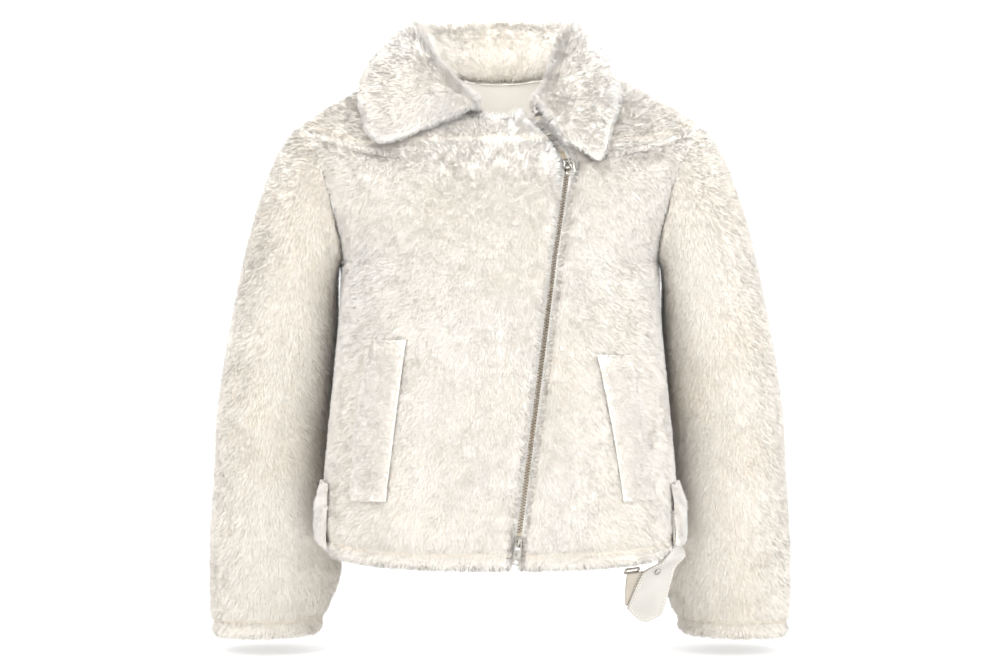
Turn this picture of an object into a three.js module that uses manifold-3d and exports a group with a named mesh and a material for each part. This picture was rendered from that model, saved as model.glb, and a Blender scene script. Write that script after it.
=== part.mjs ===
// A cropped faux fur jacket, filled out as if worn, with no wearer inside it.
// Millimetres. +X is the picture's right, +Y the back, +Z up. The origin is the middle of the yoke, between
// the shoulders that would carry it. Every fur wall's outer face is at the tips of the pile.
import Module from "manifold-3d";
import * as THREE from "three";
import { mergeVertices } from "three/addons/utils/BufferGeometryUtils.js";

// Walls and gaps
const PILE_WALL = 11; // smooth inside to pile tips
const SEAM_GAP = 0.3;
const CORNER_SPREAD = 1.9; // where three pieces meet, they part by this many seam gaps
const LINING = { clear: 0.4, thick: 1.2, low: 7.1, high: 10, margin: 3 };

// Levels up the body: rows are numbered from the hem to the neck
const HEM_LEVEL = 0;
const ARMPIT_LEVEL = 4;
const SHOULDER_LEVEL = 8;
const NECK_LEVEL = 10;
const LEVEL_HEIGHT = 80; // near the hem
const ARMHOLE_STEPS = 10; // rows from armpit to shoulder, so a sleeve has twice as many sides

// The turned hem and cuff, each with a stitched line above it that sinks the pile
const HEM_BAND = 17;
const CUFF_BAND = 20;
const STITCH = { dip: 3.6, reach: 7 };
const EDGE = { dip: 4.5, reach: 7 };

// The slanted front zip
const ZIP = { footX: 16, footZ: -540, slope: 60 / 440, turnZ: -95, bend: 0.0115, topLevel: 9.6 };
const ZIP_GAP = 5.6; // from the line of the zip to a panel's edge
const ZIP_OPEN = { more: 2.6, from: -130, over: 34 }; // how much the edges part from the top slider up
const ZIP_EDGE = { dip: 6.5, reach: 9 };
const TAPE = { from: 2.9, to: 17, thick: 0.9, clear: 0.35 };
const CHAIN = { half: 2.5, above: 1.3, below: 1.4 };
const SLIDER = {
  half: 4.4,
  length: 12,
  plate: 1.5,
  bridge: 1.2,
  clear: 0.4,
  chainGap: 2,
  topZ: -83,
  footZ: -513,
};
const BAIL = { half: 1, reach: 1.7, wall: 1.1, rise: 7.1, pivot: 5.6 };
const PULL_THICK = 1.5;

// Small vector helpers on [x, y, z]
const add = (a, b, k = 1) => [a[0] + b[0] * k, a[1] + b[1] * k, a[2] + b[2] * k];
const sub = (a, b) => add(a, b, -1);
const dot = (a, b) => a[0] * b[0] + a[1] * b[1] + a[2] * b[2];
const cross = (a, b) => [
  a[1] * b[2] - a[2] * b[1],
  a[2] * b[0] - a[0] * b[2],
  a[0] * b[1] - a[1] * b[0],
];
const size = (a) => Math.hypot(a[0], a[1], a[2]);
const unit = (a) => add([0, 0, 0], a, 1 / (size(a) || 1));
const mix = (a, b, k) => a + (b - a) * k;
const mixed = (a, b, k) => [mix(a[0], b[0], k), mix(a[1], b[1], k), mix(a[2], b[2], k)];
const clamp = (v, low = 0, high = 1) => Math.min(high, Math.max(low, v));
const smooth = (v) => {
  const k = clamp(v);
  return k * k * (3 - 2 * k);
};
const mirrored = (p) => [-p[0], p[1], p[2]];
const range = (count) => Array.from({ length: count }, (_, i) => i);

// A table of named columns, read smoothly at any value of its first column
function table(columns, rows) {
  const last = rows.length - 1;
  const slope = (c, i) => {
    const low = rows[Math.max(0, i - 1)];
    const high = rows[Math.min(last, i + 1)];
    return (high[c] - low[c]) / (high[0] - low[0]);
  };
  return (t) => {
    const v = clamp(t, rows[0][0], rows[last][0]);
    let i = 0;
    while (i < last - 1 && v > rows[i + 1][0]) i++;
    const wide = rows[i + 1][0] - rows[i][0];
    const k = (v - rows[i][0]) / wide;
    const k2 = k * k;
    const k3 = k2 * k;
    const found = {};
    columns.forEach((name, c) => {
      found[name] =
        rows[i][c] * (2 * k3 - 3 * k2 + 1) +
        wide * slope(c, i) * (k3 - 2 * k2 + k) +
        rows[i + 1][c] * (3 * k2 - 2 * k3) +
        wide * slope(c, i + 1) * (k3 - k2);
    });
    return found;
  };
}
const named = (columns, rows) =>
  rows.map((r) => Object.fromEntries(columns.map((name, i) => [name, r[i]])));

// The left half of the body in rows. A row leaves the side seam, armhole or shoulder seam by reach and
// arrives square at the centre line, which is at midY, midZ; span is how long it stays square.
const ROW = ["t", "reachX", "reachY", "reachZ", "midY", "midZ", "span"];
const frontRows = table(ROW, [
  [0, 0, -84, -17, -144, -538, 122],
  [1, 0, -84, -2, -145, -449, 120],
  [2, 0, -82, 0, -142, -354, 116],
  [3, 0, -80, 0, -138, -268, 112],
  [4, 4, -74, 0, -133, -206, 106],
  [5, 10, -72, -2, -129, -178, 106],
  [6, 18, -70, -6, -124, -150, 106],
  [7, 28, -67, -13, -118, -121, 106],
  [8, 40, -62, -24, -112, -92, 104],
  [9, 14, -62, -29, -102, -60, 84],
  [10, -2, -56, -36, -91, -36, 62],
]);
const backRows = table(ROW, [
  [0, 0, 84, -4, 133, -528, 122],
  [1, 0, 82, -2, 131, -443, 120],
  [2, 0, 80, 0, 129, -352, 116],
  [3, 0, 78, 0, 131, -266, 112],
  [4, 4, 74, 0, 133, -202, 108],
  [5, 10, 73, 0, 132, -163, 108],
  [6, 18, 72, -2, 128, -122, 108],
  [7, 28, 70, -5, 121, -82, 107],
  [8, 38, 66, -10, 110, -44, 104],
  [9, 14, 60, -4, 95, -8, 80],
  [10, -2, 46, 2, 78, 22, 46],
]);
const SEAM = ["t", "x", "y", "z"];
const sideSeam = table(SEAM, [
  [0, -205, -8, -520],
  [1, -201, -6, -440],
  [2, -193, -3, -352],
  [3, -185, 0, -266],
  [4, -184, 5, -200],
]);
const shoulderSeam = table(SEAM, [
  [8, -234, 5, -43],
  [9, -158, 4, 6],
  [10, -88, 2, 28],
]);

// The armhole: a slanted loop from the armpit round the front or back to the shoulder point
const ARMHOLE = {
  centre: [-209, 5, -121.5],
  rise: [-25, 0, 78.5],
  front: [16, -66, 0],
  back: [7, 64, 2],
};
const turnAt = (t) => (Math.PI * (t - ARMPIT_LEVEL)) / (SHOULDER_LEVEL - ARMPIT_LEVEL);
const armholeSpoke = (towards) => (towards < 0 ? ARMHOLE.front : ARMHOLE.back);
function armholePoint(turn, towards) {
  const low = add(ARMHOLE.centre, ARMHOLE.rise, -Math.cos(turn));
  return add(low, armholeSpoke(towards), Math.sin(turn));
}
// Body and sleeve share this normal, so that their edges lie face to face
function armholeNormal(turn, towards) {
  return unit([
    -0.25 * (1 - Math.cos(turn)),
    towards * Math.sin(turn),
    0.05 * Math.sin(turn) - 0.9 * Math.cos(turn),
  ]);
}
// From the armhole's edge towards the middle of the body
function armholeInward(turn, towards) {
  const tangent = add(
    add([0, 0, 0], ARMHOLE.rise, Math.sin(turn)),
    armholeSpoke(towards),
    Math.cos(turn),
  );
  const away = unit(cross(armholeNormal(turn, towards), tangent));
  return away[0] > 0 ? away : away.map((v) => -v);
}

// The four control points of a row of the left half, from its seam to the centre line. Beside the armhole
// the row is the part of a whole row that lies inside the armhole's loop.
function rowCurve(t, towards) {
  const inArmhole = t > ARMPIT_LEVEL && t < SHOULDER_LEVEL;
  const risen = (1 - Math.cos(turnAt(t))) / 2;
  const level = inArmhole ? mix(ARMPIT_LEVEL, SHOULDER_LEVEL, risen) : t;
  const row = towards < 0 ? frontRows(level) : backRows(level);
  const seam = t <= ARMPIT_LEVEL ? sideSeam(t) : shoulderSeam(t);
  const side = inArmhole
    ? add(ARMHOLE.centre, ARMHOLE.rise, 2 * risen - 1)
    : [seam.x, seam.y, seam.z];
  const whole = [
    side,
    add(side, [row.reachX, row.reachY, row.reachZ]),
    [-row.span, row.midY, row.midZ],
    [0, row.midY, row.midZ],
  ];
  if (!inArmhole) return whole;
  const edge = armholePoint(turnAt(t), towards);
  let low = 0;
  let high = 1;
  for (let i = 0; i < 30; i++) {
    const u = (low + high) / 2;
    if (onCurve(whole, u)[1] * towards < edge[1] * towards) low = u;
    else high = u;
  }
  const cut = (low + high) / 2;
  const first = mixed(whole[1], whole[2], cut);
  const second = mixed(whole[2], whole[3], cut);
  const leave = mixed(first, second, cut);
  const off = sub(edge, onCurve(whole, cut));
  return [edge, add(leave, off), second, whole[3]];
}
function onCurve(points, u) {
  const k = 1 - u;
  const weights = [k * k * k, 3 * k * k * u, 3 * k * u * u, u * u * u];
  return points.reduce((sum, p, i) => add(sum, p, weights[i]), [0, 0, 0]);
}
// A point on the outer face of the left half: u runs from the seam (0) to the centre line (1).
// towards is -1 on the front and 1 on the back.
const rowCurves = new Map();
function halfPoint(t, u, towards) {
  const key = `${t} ${towards}`;
  if (!rowCurves.has(key)) rowCurves.set(key, rowCurve(t, towards));
  return onCurve(rowCurves.get(key), u);
}
// A point across the whole front or back: s runs from -1 at the left seam to 1 at the right one
function bodyPoint(t, s, towards) {
  const p = halfPoint(t, 1 - Math.abs(s), towards);
  return s > 0 ? mirrored(p) : p;
}
const inBody = (t) => clamp(t, HEM_LEVEL, NECK_LEVEL);

function seamNormal(t) {
  const up = sub(halfPoint(inBody(t + 0.05), 0, -1), halfPoint(inBody(t - 0.05), 0, -1));
  const front = rowCurve(t, -1);
  const back = rowCurve(t, 1);
  const across = sub(unit(sub(back[1], back[0])), unit(sub(front[1], front[0])));
  return unit(cross(up, across));
}
// At the neck the wall turns up into the collar, so its edge is mitred
const NECK_AXIS_Y = -6;
const NECK_RISE = 0.85;
function neckNormal(p) {
  const outward = unit([p[0], p[1] - NECK_AXIS_Y, 0]);
  return unit([outward[0], outward[1], NECK_RISE]);
}

function bodyNormal(t, s, towards) {
  if (t >= NECK_LEVEL) return neckNormal(bodyPoint(t, s, towards));
  const flip = (n) => (s > 0 ? mirrored(n) : n);
  if (1 - Math.abs(s) < 1e-6) {
    const inArmhole = t >= ARMPIT_LEVEL && t <= SHOULDER_LEVEL;
    return flip(inArmhole ? armholeNormal(turnAt(t), towards) : seamNormal(t));
  }
  const step = 0.02;
  const across = sub(
    bodyPoint(t, clamp(s + step, -1, 1), towards),
    bodyPoint(t, clamp(s - step, -1, 1), towards),
  );
  const up = sub(bodyPoint(inBody(t + step), s, towards), bodyPoint(inBody(t - step), s, towards));
  const n = unit(cross(across, up));
  return towards < 0 ? n : n.map((v) => -v);
}
// How a panel's seam edge moves off the seam: off the other panel, and off the sleeve in the armhole
function seamShift(t, s, towards) {
  const side = [0, towards * (SEAM_GAP / 2), 0];
  if (t < ARMPIT_LEVEL || t > SHOULDER_LEVEL) return side;
  const inward = armholeInward(turnAt(t), towards);
  const off = (s > 0 ? mirrored(inward) : inward).map((v) => (v * SEAM_GAP) / 2);
  const corner = t === ARMPIT_LEVEL || t === SHOULDER_LEVEL;
  return corner ? add(off.map((v) => v * CORNER_SPREAD), side, 1.5 * CORNER_SPREAD) : off;
}

// Soft troughs pressed into the pile: where they lie, how they lean, and how long, wide and deep they are
const TROUGH = ["x", "z", "lean", "long", "wide", "deep"];
const frontTroughs = named(TROUGH, [
  [-70, -150, -0.5, 70, 30, 2],
  [-25, -330, 0.15, 110, 36, 2],
  [112, -180, 0.4, 80, 28, 2.2],
]);
const backTroughs = named(TROUGH, [
  [-120, -210, 0.5, 110, 30, 3],
  [118, -200, -0.5, 100, 30, 3],
  [-40, -400, -0.1, 120, 36, 2.5],
  [70, -420, 0.12, 110, 34, 2.5],
]);
function troughDip(p, troughs) {
  let dip = 0;
  for (const f of troughs) {
    const dx = p[0] - f.x;
    const dz = p[2] - f.z;
    const along = (dz + dx * f.lean) / Math.hypot(1, f.lean);
    const over = (dx - dz * f.lean) / Math.hypot(1, f.lean);
    dip += f.deep * Math.exp(-2 * (along / f.long) ** 2 - (over / f.wide) ** 2);
  }
  return dip;
}
// How far a stitched line and a turned edge sink the pile, at a height above the edge
function bandDip(height, band) {
  const line = STITCH.dip * Math.exp(-3 * ((height - band) / STITCH.reach) ** 2);
  return line + EDGE.dip * (1 - smooth(height / EDGE.reach)) ** 2;
}

// The zip's line is straight up the front, then turns in under the collar
const zipX = (z) =>
  ZIP.footX + ZIP.slope * (Math.min(z, ZIP.turnZ) - ZIP.footZ) - ZIP.bend * Math.max(0, z - ZIP.turnZ) ** 2;
// Where the zip's line crosses a row of the front
function zipPlace(t) {
  let low = 0;
  let high = 1;
  for (let i = 0; i < 40; i++) {
    const s = (low + high) / 2;
    const p = bodyPoint(t, s, -1);
    if (p[0] < zipX(p[2])) low = s;
    else high = s;
  }
  return (low + high) / 2;
}

// Rows of each panel, closer at the hem's band and at the neck
const hemLevels = [0, 4, 10, HEM_BAND, 25].map((h) => h / LEVEL_HEIGHT);
const armholeLevels = range(ARMHOLE_STEPS).map(
  (i) => ARMPIT_LEVEL + ((SHOULDER_LEVEL - ARMPIT_LEVEL) * i) / ARMHOLE_STEPS,
);
const sideLevels = [0.75, 1.3, 1.9, 2.5, 3.1, 3.6];
const yokeLevels = [SHOULDER_LEVEL, 8.6, 9.3, 9.75, NECK_LEVEL];
const panelLevels = [...hemLevels, ...sideLevels, ...armholeLevels, ...yokeLevels];

// Lengths along a row of the body, so that columns are evenly spaced and edges keep true distances
const ROW_STEPS = 120;
function rowLengths(t, towards) {
  const places = range(ROW_STEPS + 1).map((i) => -1 + (2 * i) / ROW_STEPS);
  const points = places.map((s) => bodyPoint(t, s, towards));
  let at = 0;
  return places.map((s, i) => {
    if (i > 0) at += size(sub(points[i], points[i - 1]));
    return { s, at };
  });
}
function placeAt(lengths, at) {
  let i = 0;
  while (i < lengths.length - 2 && lengths[i + 1].at < at) i++;
  const k = (at - lengths[i].at) / (lengths[i + 1].at - lengths[i].at);
  return mix(lengths[i].s, lengths[i + 1].s, k);
}
function lengthAt(lengths, s) {
  const i = clamp(Math.floor(((s + 1) / 2) * ROW_STEPS), 0, ROW_STEPS - 1);
  const k = (s - lengths[i].s) / (lengths[i + 1].s - lengths[i].s);
  return mix(lengths[i].at, lengths[i + 1].at, k);
}

// The free top edge of the overlapping front, between the collar's two ends
const THROAT = { left: -28, right: 62, fade: 12, dip: 3 };
function throatShare(p) {
  return smooth((p[0] - THROAT.left) / THROAT.fade) * smooth((THROAT.right - p[0]) / THROAT.fade);
}

// One panel as rows of { outer, inner } points. ends gives a row's two ends as { s, zip }; columns are
// places between them, in millimetres.
function panel(towards, columns, ends, troughs) {
  return panelLevels.map((t) => {
    const lengths = rowLengths(t, towards);
    const [from, to] = ends(t);
    const z = bodyPoint(t, zipPlace(t), -1)[2];
    const gap = ZIP_GAP + ZIP_OPEN.more * smooth((z - ZIP_OPEN.from) / ZIP_OPEN.over);
    const low = lengthAt(lengths, from.s) + (from.zip ? gap : 0);
    const high = lengthAt(lengths, to.s) - (to.zip ? gap : 0);
    return columns.map((column, i) => {
      const at = column(low, high);
      const onSeam = (i === 0 && !from.zip) || (i === columns.length - 1 && !to.zip);
      const s = onSeam ? (i === 0 ? -1 : 1) : placeAt(lengths, at);
      const n = bodyNormal(t, s, towards);
      const p = bodyPoint(t, s, towards);
      let dip = bandDip(t * LEVEL_HEIGHT, HEM_BAND);
      if (!onSeam) dip += troughDip(p, troughs) * smooth((NECK_LEVEL - t) / 2) * smooth(t / 0.6);
      if (from.zip) dip += ZIP_EDGE.dip * (1 - smooth((at - low) / ZIP_EDGE.reach)) ** 1.5;
      if (to.zip) dip += ZIP_EDGE.dip * (1 - smooth((high - at) / ZIP_EDGE.reach)) ** 1.5;
      if (t === NECK_LEVEL && towards < 0) dip += THROAT.dip * throatShare(p);
      dip = Math.min(dip, PILE_WALL - 3.5);
      const edge = onSeam ? add(p, seamShift(t, s, towards)) : p;
      return { outer: add(edge, n, -dip), inner: add(edge, n, -PILE_WALL) };
    });
  });
}
const even = (count) => range(count + 1).map((i) => (low, high) => mix(low, high, i / count));
const zipSteps = [ZIP_EDGE.reach, 3.5, 0];
const columnsToZip = (count) => [
  ...range(count).map((i) => (low, high) => mix(low, high - 2 * ZIP_EDGE.reach, i / (count - 1))),
  ...zipSteps.map((d) => (low, high) => high - d),
];
const columnsFromZip = (count) => [
  ...[...zipSteps].reverse().map((d) => (low) => low + d),
  ...range(count).map((i) => (low, high) => mix(low + 2 * ZIP_EDGE.reach, high, i / (count - 1))),
];

// Turns a grid of { outer, inner } points into one closed wall; a closed grid joins its last column to
// its first, as a tube does
function wallGeometry(grid, closed = false) {
  const rows = grid.length;
  const columns = grid[0].length;
  const positions = [];
  for (const face of ["outer", "inner"])
    for (const row of grid) for (const point of row) positions.push(...point[face]);
  const index = [];
  const id = (face, i, j) => (face * rows + i) * columns + (j % columns);
  const quad = (a, b, c, d) => index.push(a, b, c, a, c, d);
  const top = rows - 1;
  for (const j of range(closed ? columns : columns - 1)) {
    for (const i of range(top)) {
      quad(id(0, i, j), id(0, i, j + 1), id(0, i + 1, j + 1), id(0, i + 1, j));
      quad(id(1, i, j), id(1, i + 1, j), id(1, i + 1, j + 1), id(1, i, j + 1));
    }
    quad(id(1, 0, j), id(1, 0, j + 1), id(0, 0, j + 1), id(0, 0, j));
    quad(id(0, top, j), id(0, top, j + 1), id(1, top, j + 1), id(1, top, j));
  }
  const end = columns - 1;
  if (!closed)
    for (const i of range(top)) {
      quad(id(0, i, 0), id(0, i + 1, 0), id(1, i + 1, 0), id(1, i, 0));
      quad(id(1, i, end), id(1, i + 1, end), id(0, i + 1, end), id(0, i, end));
    }
  const geometry = new THREE.BufferGeometry();
  geometry.setAttribute("position", new THREE.Float32BufferAttribute(positions, 3));
  geometry.setIndex(index);
  return facingOut(geometry);
}
// Turns every face round if the solid's volume comes out negative
function facingOut(geometry) {
  const p = geometry.getAttribute("position");
  const order = geometry.index.array;
  const corner = (i) => [p.getX(order[i]), p.getY(order[i]), p.getZ(order[i])];
  let volume = 0;
  for (let i = 0; i < order.length; i += 3)
    volume += dot(corner(i), cross(corner(i + 1), corner(i + 2)));
  if (volume < 0)
    for (let i = 0; i < order.length; i += 3)
      [order[i + 1], order[i + 2]] = [order[i + 2], order[i + 1]];
  geometry.computeVertexNormals();
  return geometry;
}

// Materials
const material = (name, color, roughness, metalness = 0) =>
  new THREE.MeshStandardMaterial({ name, color, roughness, metalness });
const fur = material("fur", 0xf4eee0, 0.95);
const furTrim = material("fur_trim", 0xf7f3ea, 0.95);
const liningCloth = material("lining", 0xe9e1d2, 0.9);
const strapCloth = material("strap", 0xefebe3, 0.8);
const steel = material("steel", 0xb9b4aa, 0.3, 1);
const tapeCloth = material("tape", 0xd9d4ca, 0.85);

const coat = new THREE.Group();
function piece(name, geometry, look) {
  const mesh = new THREE.Mesh(geometry, look);
  mesh.name = name;
  coat.add(mesh);
  return mesh;
}

// Panels: the right front, on the picture's left, overlaps past the centre to the zip
const rightFront = panel(
  -1,
  columnsToZip(13),
  (t) => [{ s: -1 }, { s: zipPlace(t), zip: true }],
  frontTroughs,
);
const leftFront = panel(
  -1,
  columnsFromZip(8),
  (t) => [{ s: zipPlace(t), zip: true }, { s: 1 }],
  frontTroughs,
);
const back = panel(1, even(18), () => [{ s: -1 }, { s: 1 }], backTroughs);
piece("front_right", wallGeometry(rightFront), fur);
piece("front_left", wallGeometry(leftFront), fur);
piece("back", wallGeometry(back), fur);

// The smooth inside of the back yoke, which shows through the neck
const yokeInside = panelLevels.flatMap((t, i) => {
  if (t < LINING.low || t > LINING.high) return [];
  return [
    back[i].slice(LINING.margin, back[i].length - LINING.margin).map((q) => {
      const inward = unit(sub(q.inner, q.outer));
      const p = add(q.inner, inward, LINING.clear);
      return { outer: p, inner: add(p, inward, LINING.thick) };
    }),
  ];
});
piece("back_lining", wallGeometry(yokeInside), liningCloth);

// Sleeves: rings that fan out from the armhole and end at the cuff. inner and outer are a ring's nearest
// and farthest points from the body; front and back are its spokes.
const RING = ["k", "innerX", "innerZ", "outerX", "outerZ", "midY", "frontX", "frontY", "backX", "backY"];
const sleeveRings = table(RING, [
  [0, -184, -200, -234, -43, 5, 16, -66, 7, 64],
  [1, -186.5, -208, -251, -63, 8, 12, -69, 6, 68],
  [2, -187.5, -220, -264, -88, 12, 8, -72, 4, 71],
  [3, -187.5, -238, -280, -131, 19, 5, -74, 2, 74],
  [4, -187.5, -265, -295, -180, 27, 2, -76, 0, 76],
  [5, -190, -302, -309, -240, 34, 0, -77, 0, 77],
  [6, -193.5, -345, -321.5, -305, 42, 0, -78, 0, 78],
  [7, -198, -395, -332, -372, 51, 0, -78, 0, 78],
  [8, -198, -448, -338.5, -440, 60, 0, -77, 0, 77],
  [9, -191, -505, -342.5, -505, 69, 0, -75, 0, 75],
  [10, -188, -560, -344.5, -566, 75, 0, -72, 0, 72],
  [11, -202, -600, -344, -606, 78, 0, -66, 0, 66],
  [12, -214, -636, -342, -636, 79, 0, -61, 0, 61],
]);
const LAST_RING = 12;
const RING_HEIGHT = 33; // between the last two rings
const SLEEVE_SIDES = 2 * ARMHOLE_STEPS;
const sleeveLevels = [
  0,
  0.35,
  0.8,
  1.4,
  2,
  2.7,
  3.5,
  4.3,
  5.2,
  6.1,
  7,
  8,
  9,
  10,
  ...[40, 27, CUFF_BAND, 12, 5, 0].map((height) => LAST_RING - height / RING_HEIGHT),
];
const SLEEVE_TROUGH = ["k", "turn", "rise", "long", "wide", "deep"];
const sleeveTroughs = named(SLEEVE_TROUGH, [
  [4.4, 1.9, 0.35, 1.6, 0.5, 4],
  [6.6, 1.1, -0.3, 1.4, 0.45, 3.5],
  [8.2, 2.3, 0.25, 1.3, 0.5, 3.5],
  [5.6, 4.6, -0.35, 1.5, 0.5, 4],
  [8, 4, 0.3, 1.5, 0.5, 3.5],
]);
function sleevePoint(k, turn) {
  const r = sleeveRings(k);
  const centre = [(r.innerX + r.outerX) / 2, r.midY, (r.innerZ + r.outerZ) / 2];
  const rise = [(r.outerX - r.innerX) / 2, 0, (r.outerZ - r.innerZ) / 2];
  const spoke = Math.sin(turn) > 0 ? [r.frontX, r.frontY, 0] : [r.backX, r.backY, ARMHOLE.back[2]];
  return add(add(centre, rise, -Math.cos(turn)), spoke, Math.abs(Math.sin(turn)));
}
function sleeveNormal(k, turn) {
  const low = clamp(k - 0.05, 0, LAST_RING);
  const high = clamp(k + 0.05, 0, LAST_RING);
  const down = sub(sleevePoint(high, turn), sleevePoint(low, turn));
  const round = sub(sleevePoint(k, turn + 0.02), sleevePoint(k, turn - 0.02));
  return unit(cross(round, down));
}
const sleeve = sleeveLevels.map((k) =>
  range(SLEEVE_SIDES).map((j) => {
    const turn = (2 * Math.PI * j) / SLEEVE_SIDES;
    const p = sleevePoint(k, turn);
    if (k === 0) {
      const towards = turn <= Math.PI ? -1 : 1;
      const place = towards < 0 ? turn : 2 * Math.PI - turn;
      const n = armholeNormal(place, towards);
      const edge = add(armholePoint(place, towards), armholeInward(place, towards), -SEAM_GAP / 2);
      return { outer: edge, inner: add(edge, n, -PILE_WALL) };
    }
    const n = sleeveNormal(k, turn);
    let dip = bandDip((LAST_RING - k) * RING_HEIGHT, CUFF_BAND);
    for (const f of sleeveTroughs) {
      const along = (turn - f.turn) / f.long;
      const over = (k - f.k - f.rise * (turn - f.turn)) / f.wide;
      dip += f.deep * Math.exp(-(along ** 2) * 2 - over ** 2) * smooth(k / 2);
    }
    return { outer: add(p, n, -dip), inner: add(p, n, -PILE_WALL) };
  }),
);
const mirroredGrid = (grid) =>
  grid.map((row) => row.map((q) => ({ outer: mirrored(q.outer), inner: mirrored(q.inner) })));
piece("sleeve_right", wallGeometry(sleeve, true), fur);
piece("sleeve_left", wallGeometry(mirroredGrid(sleeve), true), fur);

// The collar: a folded wall along the neck from the zip, round the back, to the overlapping front's edge.
// q runs round the body: 0 at the middle of the back, 1 at a shoulder seam and 2 at the middle of the
// front, negative on the left. rise and lean place the fold above the neck's edge; e, t and lift place the
// collar's outer edge over the body.
const CROWDED = { under: 0.3, over: 0.05 }; // rows crowd together just under the shoulder's level
const around = (t, q) => {
  const inFront = Math.abs(q) > 1;
  const s = inFront ? Math.sign(q) * (2 - Math.abs(q)) : q;
  const towards = inFront ? -1 : 1;
  const crowded = t > SHOULDER_LEVEL - CROWDED.under && t < SHOULDER_LEVEL + CROWDED.over;
  const level = crowded ? SHOULDER_LEVEL + CROWDED.over : Math.min(t, NECK_LEVEL - 0.1);
  return { p: bodyPoint(t, s, towards), n: bodyNormal(level, s * 0.999, towards) };
};
const COLLAR = ["q", "rise", "lean", "fold", "half", "e", "t", "lift"];
const collarRows = table(COLLAR, [
  [-1.86, 7, 2, 5.5, 4.5, -1.58, 8.27, 8],
  [-1.75, 13, 6, 8.5, 7, -1.52, 8.16, 9],
  [-1.6, 22, 10, 11.5, 8.8, -1.44, 8.29, 10],
  [-1.4, 34, 13, 12.5, 9.2, -1.33, 8.58, 10],
  [-1.2, 41, 14, 12.5, 9.2, -1.16, 8.88, 10],
  [-1, 31, 14, 12.5, 9.2, -0.97, 9.12, 10],
  [-0.6, 39, 10, 12.5, 9.2, -0.61, 9.14, 10],
  [0, 53, 8, 12.5, 9.2, 0, 9.2, 10],
  [0.6, 38, 3, 13, 9.2, 0.61, 9.3, 10],
  [1, 27, -3, 14, 9.2, 1, 9.5, 10],
  [1.2, 36, -5, 14, 8.8, 1.2, 9.2, 10],
  [1.38, 31, -5, 12.5, 8, 1.41, 8.8, 10],
  [1.48, 26, -4, 11.5, 7.4, 1.5, 8.55, 10],
  [1.56, 19.5, -4, 10.2, 6.8, 1.58, 7.72, 9.6],
  [1.62, 14, -4, 9, 6.2, 1.57, 7.1, 9],
  [1.68, 9, -4, 7, 5.4, 1.7, 8.18, 8.5],
  [1.74, 5, -4, 5.5, 4.4, 1.74, 8.46, 8],
]);
const COLLAR_STATIONS = [
  -1.86, -1.82, -1.75, -1.66, -1.55, -1.42, -1.28, -1.14, -1, -0.84, -0.66, -0.45, -0.22, 0, 0.22, 0.45,
  0.66, 0.84, 1, 1.13, 1.26, 1.38, 1.48, 1.56, 1.62, 1.68, 1.74,
];
const COLLAR_CLEAR = 1; // over the body's outer face
const NECK_GAP = 0.7;
// Across the collar, w counts the key points of its curve, from 0 at the neck seam to the last at its edge.
// Its thickness there is a share of a station's half.
const LAST_KEY = 7;
const KEY_STEP = 0.2;
const collarSection = table(["w", "half"], [
  [0, 0.6],
  [1, 0.72],
  [2, 1],
  [5.6, 1],
  [6.5, 0.9],
  [LAST_KEY, 0.42],
]);
const COLLAR_PLACES = [0, 0.5, 1, 1.5, 2.1, 2.6, 3, 3.5, 4, 4.6, 5.3, 6, 6.6, LAST_KEY];

function collarCurve(q) {
  const row = collarRows(q);
  const neck = around(NECK_LEVEL, q).p;
  const n = neckNormal(neck);
  const outward = unit([neck[0], neck[1] - NECK_AXIS_Y, 0]);
  const up = unit([-outward[0] * n[2], -outward[1] * n[2], Math.hypot(n[0], n[1])]);
  const foot = add(add(neck, n, -PILE_WALL / 2), up, NECK_GAP);
  const fold = add(add(neck, outward, row.lean), [0, 0, row.rise]);
  const under = around(row.t, row.e);
  const edge = add(under.p, under.n, row.lift);
  const start = add(fold, outward, row.fold);
  // The fall is kept clear of the body where it bows over it
  const fall = [1 / 3, 2 / 3].map((k) => {
    const p = mixed(start, edge, k);
    const below = around(mix(NECK_LEVEL, row.t, mix(0.35, 1, k)), mix(q, row.e, mix(0.35, 1, k)));
    const off = dot(sub(p, below.p), below.n);
    const least = row.half + COLLAR_CLEAR;
    return off < least ? add(p, below.n, least - off) : p;
  });
  const keys = [
    foot,
    add(foot, up, row.half),
    add(fold, outward, -row.fold),
    add(fold, [0, 0, 1], row.fold),
    start,
    ...fall,
    edge,
  ];
  const curve = new THREE.CatmullRomCurve3(
    keys.map((key) => new THREE.Vector3(...key)),
    false,
    "centripetal",
  );
  return { neck, n, up, half: row.half, at: (w) => curve.getPoint(w / LAST_KEY).toArray() };
}
const collarCurves = COLLAR_STATIONS.map(collarCurve);
const collar = COLLAR_PLACES.map((w) =>
  collarCurves.map((c, i) => {
    if (w === 0) {
      const lift = add(c.neck, c.up, NECK_GAP);
      return { outer: lift, inner: add(lift, c.n, -PILE_WALL) };
    }
    const before = collarCurves[Math.max(0, i - 1)].at(w);
    const after = collarCurves[Math.min(collarCurves.length - 1, i + 1)].at(w);
    const along = sub(after, before);
    const over = sub(c.at(Math.min(LAST_KEY, w + KEY_STEP)), c.at(Math.max(0, w - KEY_STEP)));
    const n = unit(cross(over, along));
    const half = c.half * collarSection(w).half;
    return { outer: add(c.at(w), n, -half), inner: add(c.at(w), n, half) };
  }),
);
piece("collar", wallGeometry(collar), fur);

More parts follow.
